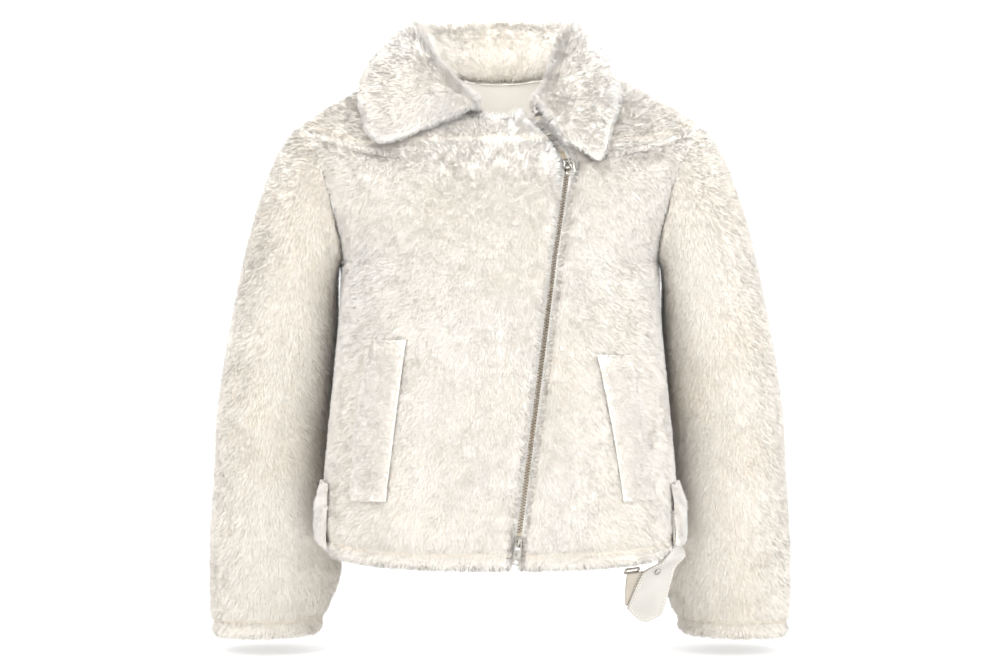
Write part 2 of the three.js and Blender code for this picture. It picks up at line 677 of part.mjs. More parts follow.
// A place on a panel's outer face: i counts its rows and j its columns, whole or part way
function onPanel(grid, i, j) {
  const low = clamp(Math.floor(i), 0, grid.length - 2);
  const left = clamp(Math.floor(j), 0, grid[0].length - 2);
  const up = i - low;
  const across = j - left;
  const a = grid[low][left];
  const b = grid[low][left + 1];
  const c = grid[low + 1][left + 1];
  const d = grid[low + 1][left];
  const blend = (read) =>
    across >= up
      ? add(add(read(a), sub(read(b), read(a)), across), sub(read(c), read(b)), up)
      : add(add(read(a), sub(read(d), read(a)), up), sub(read(c), read(d)), across);
  const n = unit(blend((q) => unit(sub(q.outer, q.inner))));
  return { p: blend((q) => q.outer), n };
}
// The column of a panel's row that lies a length along it from its first or last column
function columnAt(grid, i, length, fromEnd = false) {
  const last = grid[0].length - 1;
  const step = 0.05;
  let at = 0;
  let j = fromEnd ? last : 0;
  let before = onPanel(grid, i, j).p;
  while (at < length && j >= 0 && j <= last) {
    j += fromEnd ? -step : step;
    const p = onPanel(grid, i, j).p;
    at += size(sub(p, before));
    before = p;
  }
  return j;
}
// The place on a panel that is seen at x, z from in front
function panelAt(grid, x, z) {
  const last = grid[0].length - 1;
  const column = (i) => {
    let low = 0;
    let high = last;
    for (let k = 0; k < 30; k++) {
      const j = (low + high) / 2;
      if (onPanel(grid, i, j).p[0] < x) low = j;
      else high = j;
    }
    return (low + high) / 2;
  };
  let low = 0;
  let high = grid.length - 1;
  for (let k = 0; k < 30; k++) {
    const i = (low + high) / 2;
    if (onPanel(grid, i, column(i)).p[2] < z) low = i;
    else high = i;
  }
  const i = (low + high) / 2;
  return onPanel(grid, i, column(i));
}

// Welts: a strip along each slanted pocket mouth, which is its side nearer the side seam
const WELT_UNDER = 0.95;
const WELT_ROWS = 9;
const WELT = ["k", "left", "right", "z"];
const rightWelt = table(WELT, [
  [0, -140, -102, -288],
  [0.5, -157, -113, -374],
  [1, -163, -124, -464],
]);
const leftWelt = table(WELT, [
  [0, 106, 144, -304],
  [0.5, 122, 158, -382],
  [1, 135, 172, -464],
]);
const weltSection = table(["c", "rise"], [
  [0, 2.6],
  [0.15, 3.8],
  [0.6, 3.8],
  [1, 1.4],
]);
function welt(grid, edges, mouthOnLeft) {
  return range(WELT_ROWS).map((i) => {
    const k = i / (WELT_ROWS - 1);
    const row = edges(k);
    const end = 0.55 + 0.45 * smooth(Math.min(k, 1 - k) / 0.08);
    return [0, 0.15, 0.38, 0.62, 0.85, 1].map((c) => {
      const under = panelAt(grid, mix(row.left, row.right, c), row.z);
      const rise = weltSection(mouthOnLeft ? c : 1 - c).rise * end;
      return {
        outer: add(under.p, under.n, WELT_UNDER + rise),
        inner: add(under.p, under.n, WELT_UNDER),
      };
    });
  });
}
piece("welt_right", wallGeometry(welt(rightFront, rightWelt, true)), furTrim);
piece("welt_left", wallGeometry(welt(leftFront, leftWelt, false)), furTrim);

// A loop of fur at each side, just above the hem. The left one stands off to let the strap through.
const LOOP = { from: 5, to: 49, columns: 7 };
const LOOP_ROWS = [1.6, 2, 4, 4.25, 4.5, 4.75, 5, 5.3]; // rows of the panel, none in the hem's groove
const LOOP_UNDER = 0.75;
const STRAP_ROOM = 3.4;
function sideLoop(grid, fromEnd, strapUnder) {
  return LOOP_ROWS.map((i, r) => {
    const k = r / (LOOP_ROWS.length - 1);
    return range(LOOP.columns).map((m) => {
      const c = m / (LOOP.columns - 1);
      const under = onPanel(grid, i, columnAt(grid, i, mix(LOOP.from, LOOP.to, c), fromEnd));
      const round = smooth(Math.min(c, 1 - c) / 0.3) * smooth(Math.min(k, 1 - k) / 0.25);
      const stand = strapUnder ? STRAP_ROOM * smooth((1 - k) / 0.25) : 1.6 * round;
      return {
        outer: add(under.p, under.n, LOOP_UNDER + stand + 3 + 5.2 * round),
        inner: add(under.p, under.n, LOOP_UNDER + stand),
      };
    });
  });
}
piece("side_loop_right", wallGeometry(sideLoop(rightFront, false, false)), furTrim);
piece("side_loop_left", wallGeometry(sideLoop(leftFront, true, true)), furTrim);

// The side strap: rows of points across it, from its left edge to its right one. It starts under the left
// loop, on the panel, and hangs past the hem, where it turns to face the front.
const STRAP = { half: 1.2, under: 0.85, left: 46, right: 8, bow: 0.8 };
const STRAP_COLUMNS = 5;
const STRAP_ROWS = [4.6, 4, 2, 1.2]; // rows of the panel, none in the hem's groove
const strapOnPanel = STRAP_ROWS.map((i) =>
  range(STRAP_COLUMNS).map((m) => {
    const length = mix(STRAP.left, STRAP.right, m / (STRAP_COLUMNS - 1));
    const under = onPanel(leftFront, i, columnAt(leftFront, i, length, true));
    return add(under.p, under.n, STRAP.under + STRAP.half);
  }),
);
const strapHanging = named(["aX", "aY", "aZ", "bX", "bY", "bZ"], [
  [182, -72.6, -535, 210.5, -32.2, -533],
  [160, -63, -547, 198, -36, -544],
  [151, -57, -568, 192, -38, -568],
  [143, -50, -590, 184, -38, -598],
  [149, -48, -597, 177, -39, -602],
  [159, -45, -605, 165, -43, -606],
]).map((r) =>
  range(STRAP_COLUMNS).map((m) => {
    const c = m / (STRAP_COLUMNS - 1);
    const p = mixed([r.aX, r.aY, r.aZ], [r.bX, r.bY, r.bZ], c);
    return add(p, [0, -1, 0], STRAP.bow * 4 * c * (1 - c));
  }),
);
const strapRows = [...strapOnPanel, ...strapHanging];
// A point and the outward normal on the strap: i counts its rows, c runs across it and may run past it
const strapNormals = strapRows.map((row, r) =>
  row.map((_, m) => {
    const above = strapRows[Math.max(0, r - 1)][m];
    const below = strapRows[Math.min(strapRows.length - 1, r + 1)][m];
    const left = row[Math.max(0, m - 1)];
    const right = row[Math.min(STRAP_COLUMNS - 1, m + 1)];
    return unit(cross(sub(below, above), sub(right, left)));
  }),
);
function onStrap(i, c) {
  const low = clamp(Math.floor(i), 0, strapRows.length - 2);
  const m = clamp(Math.floor(c * (STRAP_COLUMNS - 1)), 0, STRAP_COLUMNS - 2);
  const k = c * (STRAP_COLUMNS - 1) - m;
  const acrossRow = (row, share) => mixed(row[m], row[m + 1], share);
  const spread = (rows, share) =>
    mixed(acrossRow(rows[low], share), acrossRow(rows[low + 1], share), i - low);
  return { p: spread(strapRows, k), n: unit(spread(strapNormals, clamp(k, 0, 1))) };
}
// A strip of cloth lying level with the strap, behind it by depth
const strapStrip = (places, edges, depth) =>
  places.map((i) =>
    range(STRAP_COLUMNS).map((m) => {
      const [left, right] = edges(i);
      const q = onStrap(i, mix(left, right, m / (STRAP_COLUMNS - 1)));
      const p = add(q.p, q.n, -depth);
      return { outer: add(p, q.n, STRAP.half), inner: add(p, q.n, -STRAP.half) };
    }),
  );
piece("side_strap", wallGeometry(strapStrip(range(strapRows.length), () => [0, 1], 0)), strapCloth);

// Behind the strap: its second layer, and the metal loop that it holds
const TAB = { top: 5.12, foot: 6.9, depth: 3.1, leftTop: -0.4, leftFoot: -0.05, right: 0.36 };
const strapTab = strapStrip(
  [TAB.top, 5.5, 6, 6.45, TAB.foot],
  (i) => [mix(TAB.leftTop, TAB.leftFoot, (i - TAB.top) / (TAB.foot - TAB.top)), TAB.right],
  TAB.depth,
);
piece("strap_tab", wallGeometry(strapTab), strapCloth);

// A frame at a place: x across, y up along the piece, z out of its face
function setIn(mesh, origin, across, up, out) {
  const basis = [across, up, out].map((v) => new THREE.Vector3(...v));
  mesh.quaternion.setFromRotationMatrix(new THREE.Matrix4().makeBasis(...basis));
  mesh.position.set(...origin);
  return mesh;
}
const flatPlate = (shape, thick) =>
  new THREE.ExtrudeGeometry(shape, { depth: thick, bevelEnabled: false, curveSegments: 8 });
// A rectangle with rounded corners, centred, as a shape or as a hole
function roundedBox(path, left, low, right, high, radius) {
  path.moveTo(left + radius, low);
  path.lineTo(right - radius, low);
  path.absarc(right - radius, low + radius, radius, -Math.PI / 2, 0, false);
  path.lineTo(right, high - radius);
  path.absarc(right - radius, high - radius, radius, 0, Math.PI / 2, false);
  path.lineTo(left + radius, high);
  path.absarc(left + radius, high - radius, radius, Math.PI / 2, Math.PI, false);
  path.lineTo(left, low + radius);
  path.absarc(left + radius, low + radius, radius, Math.PI, 1.5 * Math.PI, false);
  return path;
}
const BUCKLE = { half: 10, high: 8, wire: 1.8, thick: 1.8 };
const buckleShape = roundedBox(new THREE.Shape(), -BUCKLE.half, 0, BUCKLE.half, BUCKLE.high, 2.2);
buckleShape.holes.push(
  roundedBox(
    new THREE.Path(),
    BUCKLE.wire - BUCKLE.half,
    BUCKLE.wire,
    BUCKLE.half - BUCKLE.wire,
    BUCKLE.high - BUCKLE.wire,
    0.6,
  ),
);
// The strap's frame at a place, with up along it
function strapFrame(i, c) {
  const q = onStrap(i, c);
  const across = unit(sub(onStrap(i, c + 0.1).p, onStrap(i, c - 0.1).p));
  const up = unit(cross(q.n, across));
  return { p: q.p, across: unit(cross(up, q.n)), up, out: q.n };
}
const tabTop = strapFrame(TAB.top, -0.3);
const buckleFoot = add(add(tabTop.p, tabTop.up, 0.4), tabTop.out, -TAB.depth - BUCKLE.thick / 2);
const buckle = piece("strap_buckle", flatPlate(buckleShape, BUCKLE.thick), steel);
setIn(buckle, buckleFoot, tabTop.across, tabTop.up, tabTop.out);

const SNAP = { radius: 4, rise: 1.5, over: 1.3 }; // over the strap, which bends under it
const snapAt = strapFrame(5.05, 0.44);
const snapProfile = [
  new THREE.Vector2(0, 0),
  new THREE.Vector2(SNAP.radius, 0),
  new THREE.Vector2(SNAP.radius, 0.5 * SNAP.rise),
  new THREE.Vector2(0.8 * SNAP.radius, SNAP.rise),
  new THREE.Vector2(0, SNAP.rise),
];
const snap = piece("strap_snap", new THREE.LatheGeometry(snapProfile, 20).rotateX(Math.PI / 2), steel);
setIn(snap, add(snapAt.p, snapAt.out, STRAP.half + SNAP.over), snapAt.across, snapAt.up, snapAt.out);

// The zip: tapes behind the two front edges, the closed chain between them, and a slider at each end
const TAPE_DEPTH = PILE_WALL + TAPE.clear; // to a tape's face
const CHAIN_DEPTH = TAPE_DEPTH + TAPE.thick / 2; // to the middle of the chain
function zipPoint(t, side, depth) {
  const lengths = rowLengths(t, -1);
  const s = placeAt(lengths, lengthAt(lengths, zipPlace(t)) + side);
  return add(bodyPoint(t, s, -1), bodyNormal(Math.min(t, ZIP.topLevel), s, -1), -depth);
}
function zipLevel(z) {
  let low = HEM_LEVEL;
  let high = NECK_LEVEL;
  for (let i = 0; i < 30; i++) {
    const t = (low + high) / 2;
    if (bodyPoint(t, zipPlace(t), -1)[2] < z) low = t;
    else high = t;
  }
  return (low + high) / 2;
}
const tapeLevels = panelLevels.filter((t) => t < ZIP.topLevel);
for (const [name, side] of [
  ["zip_tape_right", -1],
  ["zip_tape_left", 1],
]) {
  const grid = [...tapeLevels, ZIP.topLevel].map((t) =>
    [TAPE.from, mix(TAPE.from, TAPE.to, 0.45), TAPE.to].map((away) => ({
      outer: zipPoint(t, side * away, TAPE_DEPTH),
      inner: zipPoint(t, side * away, TAPE_DEPTH + TAPE.thick),
    })),
  );
  piece(name, wallGeometry(grid), tapeCloth);
}
const chainTop = zipLevel(SLIDER.topZ - SLIDER.length - SLIDER.chainGap);
const chainFoot = zipLevel(SLIDER.footZ + SLIDER.length + SLIDER.chainGap);
const chainLevels = [
  chainFoot,
  ...panelLevels.filter((t) => t > chainFoot + 0.05 && t < chainTop - 0.05),
  chainTop,
];
const chain = chainLevels.map((t) =>
  [-CHAIN.half, CHAIN.half].map((side) => ({
    outer: zipPoint(t, side, CHAIN_DEPTH - CHAIN.above),
    inner: zipPoint(t, side, CHAIN_DEPTH + CHAIN.below),
  })),
);
piece("zip_chain", wallGeometry(chain), steel);

// A frame on the zip at a height: x across, y up the zip, z out of the front, at the chain's depth
function zipFrame(z) {
  const at = (height) => zipPoint(zipLevel(height), 0, CHAIN_DEPTH);
  const p = at(z);
  const up = unit(sub(at(z + 4), at(z - 4)));
  const level = zipLevel(z);
  const across = unit(sub(zipPoint(level, 4, CHAIN_DEPTH), zipPoint(level, -4, CHAIN_DEPTH)));
  const out = unit(cross(across, up));
  return { p, across: unit(cross(up, out)), up, out };
}
// A slider's two plates and the bridge between them, drawn across the zip and extruded along it
const PLATE_OUT = CHAIN.above + SLIDER.clear; // from the chain's middle to the front plate
const PLATE_IN = CHAIN.below + SLIDER.clear;
const sliderShape = new THREE.Shape([
  new THREE.Vector2(-SLIDER.half, PLATE_OUT),
  new THREE.Vector2(-SLIDER.bridge, PLATE_OUT),
  new THREE.Vector2(-SLIDER.bridge, -PLATE_IN),
  new THREE.Vector2(-SLIDER.half, -PLATE_IN),
  new THREE.Vector2(-SLIDER.half, -PLATE_IN - SLIDER.plate),
  new THREE.Vector2(SLIDER.half, -PLATE_IN - SLIDER.plate),
  new THREE.Vector2(SLIDER.half, -PLATE_IN),
  new THREE.Vector2(SLIDER.bridge, -PLATE_IN),
  new THREE.Vector2(SLIDER.bridge, PLATE_OUT),
  new THREE.Vector2(SLIDER.half, PLATE_OUT),
  new THREE.Vector2(SLIDER.half, PLATE_OUT + SLIDER.plate),
  new THREE.Vector2(-SLIDER.half, PLATE_OUT + SLIDER.plate),
]);
// The bail: an arch over the pull's pivot, drawn along the zip and extruded across it
const BAIL_FOOT = PLATE_OUT + SLIDER.plate;
const BAIL_TOP = BAIL_FOOT + BAIL.rise;
const bailShape = new THREE.Shape([
  new THREE.Vector2(-BAIL.reach - BAIL.wall, BAIL_FOOT - 0.2),
  new THREE.Vector2(-BAIL.reach, BAIL_FOOT - 0.2),
  new THREE.Vector2(-BAIL.reach, BAIL_TOP),
  new THREE.Vector2(BAIL.reach, BAIL_TOP),
  new THREE.Vector2(BAIL.reach, BAIL_FOOT - 0.2),
  new THREE.Vector2(BAIL.reach + BAIL.wall, BAIL_FOOT - 0.2),
  new THREE.Vector2(BAIL.reach + BAIL.wall, BAIL_TOP),
  new THREE.Vector2(BAIL.reach, BAIL_TOP + BAIL.wall),
  new THREE.Vector2(-BAIL.reach, BAIL_TOP + BAIL.wall),
  new THREE.Vector2(-BAIL.reach - BAIL.wall, BAIL_TOP),
]);
const wasm = await Module();
wasm.setup();
function solid(geometry) {
  const bare = geometry.clone();
  bare.deleteAttribute("normal");
  bare.deleteAttribute("uv");
  const merged = mergeVertices(bare, 1e-4);
  return new wasm.Manifold(
    new wasm.Mesh({
      numProp: 3,
      vertProperties: new Float32Array(merged.getAttribute("position").array),
      triVerts: new Uint32Array(merged.index.array),
    }),
  );
}
function geometryOf(manifold) {
  const mesh = manifold.getMesh();
  const geometry = new THREE.BufferGeometry();
  geometry.setAttribute("position", new THREE.Float32BufferAttribute(mesh.vertProperties, 3));
  geometry.setIndex([...mesh.triVerts]);
  geometry.computeVertexNormals();
  return geometry;
}
function sliderGeometry() {
  const plates = flatPlate(sliderShape, SLIDER.length);
  plates.translate(0, 0, -SLIDER.length / 2);
  plates.rotateX(-Math.PI / 2).scale(1, -1, -1); // drawn axes x, y, z become across, out, along
  const arch = flatPlate(bailShape, 2 * BAIL.half);
  arch.translate(0, 0, -BAIL.half);
  arch.applyMatrix4(
    new THREE.Matrix4().makeBasis(
      new THREE.Vector3(0, 1, 0),
      new THREE.Vector3(0, 0, 1),
      new THREE.Vector3(1, 0, 0),
    ),
  );
  return geometryOf(solid(plates).add(solid(arch)));
}
// The pulls: a ring whose top bar lies in the bail, and below it an oval loop or a narrow holed tab
const PIVOT = BAIL_FOOT + BAIL.pivot; // from the chain's middle to the pull's axis
const halfBar = PULL_THICK / 2;
function loopPull() {
  const shape = roundedBox(new THREE.Shape(), -6.2, -17.2, 6.2, halfBar, 5.4);
  shape.holes.push(roundedBox(new THREE.Path(), -4.4, -15.4, 4.4, -halfBar, 3.8));
  return shape;
}
function tabPull() {
  const shape = roundedBox(new THREE.Shape(), -3.9, -25, 3.9, halfBar, 1.6);
  shape.holes.push(roundedBox(new THREE.Path(), -2.3, -8, 2.3, -halfBar, 0.6));
  const eye = new THREE.Path();
  eye.absarc(0, -21, 1.7, 0, 2 * Math.PI, false);
  shape.holes.push(eye);
  return shape;
}
for (const [name, z, pull, swing] of [
  ["top", SLIDER.topZ - SLIDER.length / 2, loopPull(), -0.09],
  ["bottom", SLIDER.footZ + SLIDER.length / 2, tabPull(), 0],
]) {
  const frame = zipFrame(z);
  const slider = piece(`${name}_slider`, sliderGeometry(), steel);
  setIn(slider, frame.p, frame.across, frame.up, frame.out);
  const plate = flatPlate(pull, PULL_THICK);
  plate.translate(0, 0, -halfBar).rotateZ(swing);
  const tag = piece(`${name}_pull`, plate, steel);
  setIn(tag, add(frame.p, frame.out, PIVOT), frame.across, frame.up, frame.out);
}

export default coat;
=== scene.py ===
# Looks of a cropped plush coat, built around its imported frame. Sizes are in metres.
import math

import bmesh
import bpy
import numpy as np
from mathutils import Matrix, Vector
from mathutils.bvhtree import BVHTree
from mathutils.kdtree import KDTree


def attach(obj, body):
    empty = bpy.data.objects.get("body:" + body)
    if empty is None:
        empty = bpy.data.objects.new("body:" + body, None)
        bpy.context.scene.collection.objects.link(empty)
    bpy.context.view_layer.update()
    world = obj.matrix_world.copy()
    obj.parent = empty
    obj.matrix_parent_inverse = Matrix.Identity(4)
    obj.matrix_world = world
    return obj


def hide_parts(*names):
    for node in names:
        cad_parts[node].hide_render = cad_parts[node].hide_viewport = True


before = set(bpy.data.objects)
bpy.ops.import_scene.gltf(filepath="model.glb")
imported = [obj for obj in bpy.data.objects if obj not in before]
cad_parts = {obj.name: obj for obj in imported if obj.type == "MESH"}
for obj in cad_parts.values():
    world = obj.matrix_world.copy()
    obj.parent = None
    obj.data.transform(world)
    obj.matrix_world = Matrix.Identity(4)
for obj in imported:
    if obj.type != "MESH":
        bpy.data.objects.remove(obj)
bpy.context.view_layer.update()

MM = 0.001
SEED = 71

# The camera, where the photograph was taken from: its distance, its aim and how much it sees there
CAMERA_AWAY = 2.4
CAMERA_X = 4.6 * MM
CAMERA_Z = -283 * MM
HALF_VIEW = 579.6 * MM
SENSOR = 36.0


def make_camera():
    data = bpy.data.cameras.new("camera")
    data.sensor_width = SENSOR
    data.lens = SENSOR / 2 * CAMERA_AWAY / HALF_VIEW
    data.clip_start = 0.05
    camera = bpy.data.objects.new("camera", data)
    camera.location = (CAMERA_X, -CAMERA_AWAY, CAMERA_Z)
    camera.rotation_euler = (math.pi / 2, 0, 0)
    bpy.context.scene.collection.objects.link(camera)
    bpy.context.scene.camera = camera


make_camera()


# Vector helpers on arrays of points
def unit(v):
    return v / np.maximum(np.linalg.norm(v, axis=-1, keepdims=True), 1e-12)


def dot(a, b):
    return (a * b).sum(-1, keepdims=True)


def tangent_part(v, normal):
    return v - dot(v, normal) * normal


def smooth(x):
    t = np.clip(x, 0, 1)
    return t * t * (3 - 2 * t)


def noise(points, size, seed):
    """Smooth value noise from -1 to 1, with features of about the given size."""
    q = np.asarray(points) / size
    base = np.floor(q).astype(np.int64)
    t = q - base
    t = t * t * (3 - 2 * t)
    total = np.zeros(len(q))
    for i in (0, 1):
        for j in (0, 1):
            for k in (0, 1):
                x, y, z = (base + (i, j, k)).T
                h = (x * 73856093) ^ (y * 19349663) ^ (z * 83492791) ^ (seed * 2654435761)
                h = (h ^ (h >> 13)) * 1274126177
                value = ((h ^ (h >> 16)) & 0xFFFFFF) / 0xFFFFFF * 2 - 1
                share = np.ones(len(q))
                for flag, axis in ((i, 0), (j, 1), (k, 2)):
                    share = share * (t[:, axis] if flag else 1 - t[:, axis])
                total += share * value
    return total


# Meshes
def node_mesh(name):
    """A node's points and triangles, with the points of neighbouring faces joined."""
    bm = bmesh.new()
    bm.from_mesh(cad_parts[name].data)
    bmesh.ops.remove_doubles(bm, verts=bm.verts, dist=0.01 * MM)
    bmesh.ops.triangulate(bm, faces=bm.faces)
    bm.verts.ensure_lookup_table()
    points = np.array([v.co for v in bm.verts], float)
    faces = np.array([[v.index for v in f.verts] for f in bm.faces], int)
    bm.free()
    return points, faces


def face_normals(points, faces):
    a, b, c = (points[faces[:, k]] for k in range(3))
    return np.cross(b - a, c - a)


def point_normals(points, faces):
    """Smooth normals at the points of the given faces, weighted by the faces' areas."""
    total = np.zeros_like(points)
    flat = face_normals(points, faces)
    for k in range(3):
        np.add.at(total, faces[:, k], flat)
    return unit(total)


def new_object(name, mesh):
    obj = bpy.data.objects.new(name, mesh)
    bpy.context.scene.collection.objects.link(obj)
    return obj


def mesh_object(name, points, faces, materials, face_slots=None, smooth_faces=True):
    mesh = bpy.data.meshes.new(name)
    mesh.from_pydata([tuple(p) for p in points], [], [tuple(int(i) for i in f) for f in faces])
    for material in materials:
        mesh.materials.append(material)
    if face_slots is not None:
        mesh.polygons.foreach_set("material_index", np.asarray(face_slots, dtype=np.int32))
    mesh.polygons.foreach_set("use_smooth", np.full(len(mesh.polygons), smooth_faces))
    mesh.update()
    return new_object(name, mesh)


def sharp_from_angle(obj, degrees):
    obj.data.set_sharp_from_angle(angle=math.radians(degrees))


# Materials
def principled(name, roughness, metallic=0.0, sheen=0.0, sheen_roughness=0.5):
    material = bpy.data.materials.new(name)
    material.use_nodes = True
    nodes = material.node_tree.nodes
    shader = nodes["Principled BSDF"] if "Principled BSDF" in nodes else nodes.new("ShaderNodeBsdfPrincipled")
    shader.inputs["Roughness"].default_value = roughness
    shader.inputs["Metallic"].default_value = metallic
    shader.inputs["Sheen Weight"].default_value = sheen
    shader.inputs["Sheen Roughness"].default_value = sheen_roughness
    return material, material.node_tree.nodes, material.node_tree.links, shader


def ramp(nodes, stops):
    node = nodes.new("ShaderNodeValToRGB")
    elements = node.color_ramp.elements
    while len(elements) < len(stops):
        elements.new(0.5)
    for element, (place, colour) in zip(elements, stops):
        element.position = place
        element.color = (*colour, 1)
    return node


PILE_CHART = "OFBake"  # across: how tan or white a blade is; up: from its root to its tip
PILE_NORMAL = "pile_normal"  # the way a blade is lit, the same for its two faces


def pile_material(name, tones, root_shade):
    """Plush pile: each blade takes its tone from across the chart and darkens towards its root, a painted shade deep in
    the pile.
    """
    material, nodes, links, shader = principled(name, 0.85, sheen=0.25, sheen_roughness=0.4)
    chart = nodes.new("ShaderNodeUVMap")
    chart.uv_map = PILE_CHART
    split = nodes.new("ShaderNodeSeparateXYZ")
    links.new(chart.outputs["UV"], split.inputs[0])
    tone = ramp(nodes, tones)
    links.new(split.outputs["X"], tone.inputs[0])
    depth = ramp(nodes, [(0.1, root_shade), (0.5, tuple(0.4 + 0.6 * c for c in root_shade)), (0.85, (1, 1, 1))])
    links.new(split.outputs["Y"], depth.inputs[0])
    mix = nodes.new("ShaderNodeMix")
    mix.data_type = "RGBA"
    mix.blend_type = "MULTIPLY"
    mix.inputs[0].default_value = 1.0
    links.new(tone.outputs["Color"], mix.inputs[6])
    links.new(depth.outputs["Color"], mix.inputs[7])
    links.new(mix.outputs[2], shader.inputs["Base Color"])
    facing_way = nodes.new("ShaderNodeAttribute")
    facing_way.attribute_name = PILE_NORMAL
    links.new(facing_way.outputs["Vector"], shader.inputs["Normal"])
    return material


def woven_material(name, low, high, thread, bump, roughness=0.9, sheen=0.2):
    """Woven cloth: two crossed sets of threads, with slow variation in colour."""
    material, nodes, links, shader = principled(name, roughness, sheen=sheen)
    place = nodes.new("ShaderNodeTexCoord")
    mottle = nodes.new("ShaderNodeTexNoise")
    mottle.inputs["Scale"].default_value = 28
    mottle.inputs["Detail"].default_value = 4
    links.new(place.outputs["Object"], mottle.inputs["Vector"])
    colour = ramp(nodes, [(0.3, low), (0.7, high)])
    links.new(mottle.outputs["Fac"], colour.inputs[0])
    links.new(colour.outputs["Color"], shader.inputs["Base Color"])
    height = None
    for direction in ("X", "Z"):
        wave = nodes.new("ShaderNodeTexWave")
        wave.bands_direction = direction
        wave.inputs["Scale"].default_value = 1 / thread
        wave.inputs["Distortion"].default_value = 0.6
        links.new(place.outputs["Object"], wave.inputs["Vector"])
        if height is None:
            height = wave.outputs["Fac"]
            continue
        both = nodes.new("ShaderNodeMath")
        both.operation = "MAXIMUM"
        links.new(height, both.inputs[0])
        links.new(wave.outputs["Fac"], both.inputs[1])
        height = both.outputs[0]
    relief = nodes.new("ShaderNodeBump")
    relief.inputs["Strength"].default_value = bump
    relief.inputs["Distance"].default_value = 0.3 * MM
    links.new(height, relief.inputs["Height"])
    links.new(relief.outputs["Normal"], shader.inputs["Normal"])
    return material


def suede_material(name, low, high):
    """Suede: a fine soft grain, with rubbed patches a little lighter."""
    material, nodes, links, shader = principled(name, 0.9, sheen=0.08)
    place = nodes.new("ShaderNodeTexCoord")
    patches = nodes.new("ShaderNodeTexNoise")
    patches.inputs["Scale"].default_value = 45
    patches.inputs["Detail"].default_value = 6
    links.new(place.outputs["Object"], patches.inputs["Vector"])
    colour = ramp(nodes, [(0.3, low), (0.7, high)])
    links.new(patches.outputs["Fac"], colour.inputs[0])
    links.new(colour.outputs["Color"], shader.inputs["Base Color"])
    grain = nodes.new("ShaderNodeTexNoise")
    grain.inputs["Scale"].default_value = 1400
    grain.inputs["Detail"].default_value = 3
    links.new(place.outputs["Object"], grain.inputs["Vector"])
    relief = nodes.new("ShaderNodeBump")
    relief.inputs["Strength"].default_value = 0.25
    relief.inputs["Distance"].default_value = 0.2 * MM
    links.new(grain.outputs["Fac"], relief.inputs["Height"])
    links.new(relief.outputs["Normal"], shader.inputs["Normal"])
    return material


def metal_material(name, colour, worn, roughness):
    """Polished metal, a little duller and darker where it is handled."""
    material, nodes, links, shader = principled(name, roughness, metallic=1.0)
    place = nodes.new("ShaderNodeTexCoord")
    wear = nodes.new("ShaderNodeTexNoise")
    wear.inputs["Scale"].default_value = 260
    wear.inputs["Detail"].default_value = 5
    links.new(place.outputs["Object"], wear.inputs["Vector"])
    tint = ramp(nodes, [(0.35, worn), (0.65, colour)])
    links.new(wear.outputs["Fac"], tint.inputs[0])
    links.new(tint.outputs["Color"], shader.inputs["Base Color"])
    rough = nodes.new("ShaderNodeMapRange")
    rough.inputs["To Min"].default_value = roughness * 0.8
    rough.inputs["To Max"].default_value = roughness * 1.5
    links.new(wear.outputs["Fac"], rough.inputs["Value"])
    links.new(rough.outputs["Result"], shader.inputs["Roughness"])
    return material


TAN = (0.935, 0.87, 0.77)
IVORY = (0.96, 0.925, 0.865)
WHITE = (0.975, 0.955, 0.925)
FUR_TONES = [(0.1, TAN), (0.5, IVORY), (0.9, WHITE)]
# The sleeves' pile is the body's fur made darker, its roots too: a painted shade, as the sleeves hang back and turn
# from the light
SLEEVE_SHADED_TONES = [(0.1, (0.88, 0.81, 0.71)), (0.5, (0.925, 0.885, 0.82)), (0.9, IVORY)]
# The welts' and loops' pile: tones a little darker and roots darker, a painted shade for the self-shadow their short
# pile lacks
TRIM_TONES = [(0.0, (0.90, 0.84, 0.77)), (0.5, (0.935, 0.905, 0.865)), (1.0, (0.96, 0.945, 0.915))]
fur_pile = pile_material("fur_pile", FUR_TONES, (0.985, 0.965, 0.93))
shaded_sleeve_pile = pile_material("shaded_sleeve_pile", SLEEVE_SHADED_TONES, (0.97, 0.945, 0.90))
trim_pile = pile_material("trim_pile", TRIM_TONES, (0.93, 0.90, 0.85))
backing = woven_material("backing", (0.74, 0.65, 0.51), (0.80, 0.72, 0.60), 0.0016, 0.4)
lining = woven_material("lining_cloth", (0.95, 0.92, 0.87), (0.97, 0.95, 0.91), 0.0012, 0.3)
zip_tape = woven_material("zip_tape", (0.70, 0.685, 0.65), (0.78, 0.765, 0.735), 0.0009, 0.5)
strap_suede = suede_material("strap_suede", (0.46, 0.443, 0.412), (0.52, 0.502, 0.468))
tab_suede = suede_material("tab_suede", (0.40, 0.36, 0.30), (0.47, 0.425, 0.365))
polished = metal_material("polished", (0.50, 0.48, 0.44), (0.26, 0.245, 0.22), 0.2)
teeth_metal = metal_material("teeth_metal", (0.22, 0.22, 0.215), (0.08, 0.08, 0.078), 0.26)
thread = woven_material("thread", (0.78, 0.72, 0.62), (0.84, 0.79, 0.70), 0.0005, 0.5)


# The faces of a wall that show its pile, and how thick the wall is there
WALL_MOST = 13.5 * MM
AXIS_TOP = {"body": -0.12, "sleeve": -0.17}


def axis_points(points, kind, places):
    """The points of a tube's axis level with the given places: the coat's own axis, or a sleeve's."""
    z = np.minimum(places[:, 2], AXIS_TOP[kind])
    if kind == "body":
        return np.stack([np.zeros_like(z), np.zeros_like(z), z], 1)
    levels = np.linspace(points[:, 2].min(), AXIS_TOP[kind], 12)
    reach = 35 * MM
    middles = []
    for level in levels:
        near = points[np.abs(points[:, 2] - level) < reach]
        middles.append((near[:, :2].min(0) + near[:, :2].max(0)) / 2)
    middles = np.array(middles)
    return np.stack([np.interp(z, levels, middles[:, 0]), np.interp(z, levels, middles[:, 1]), z], 1)


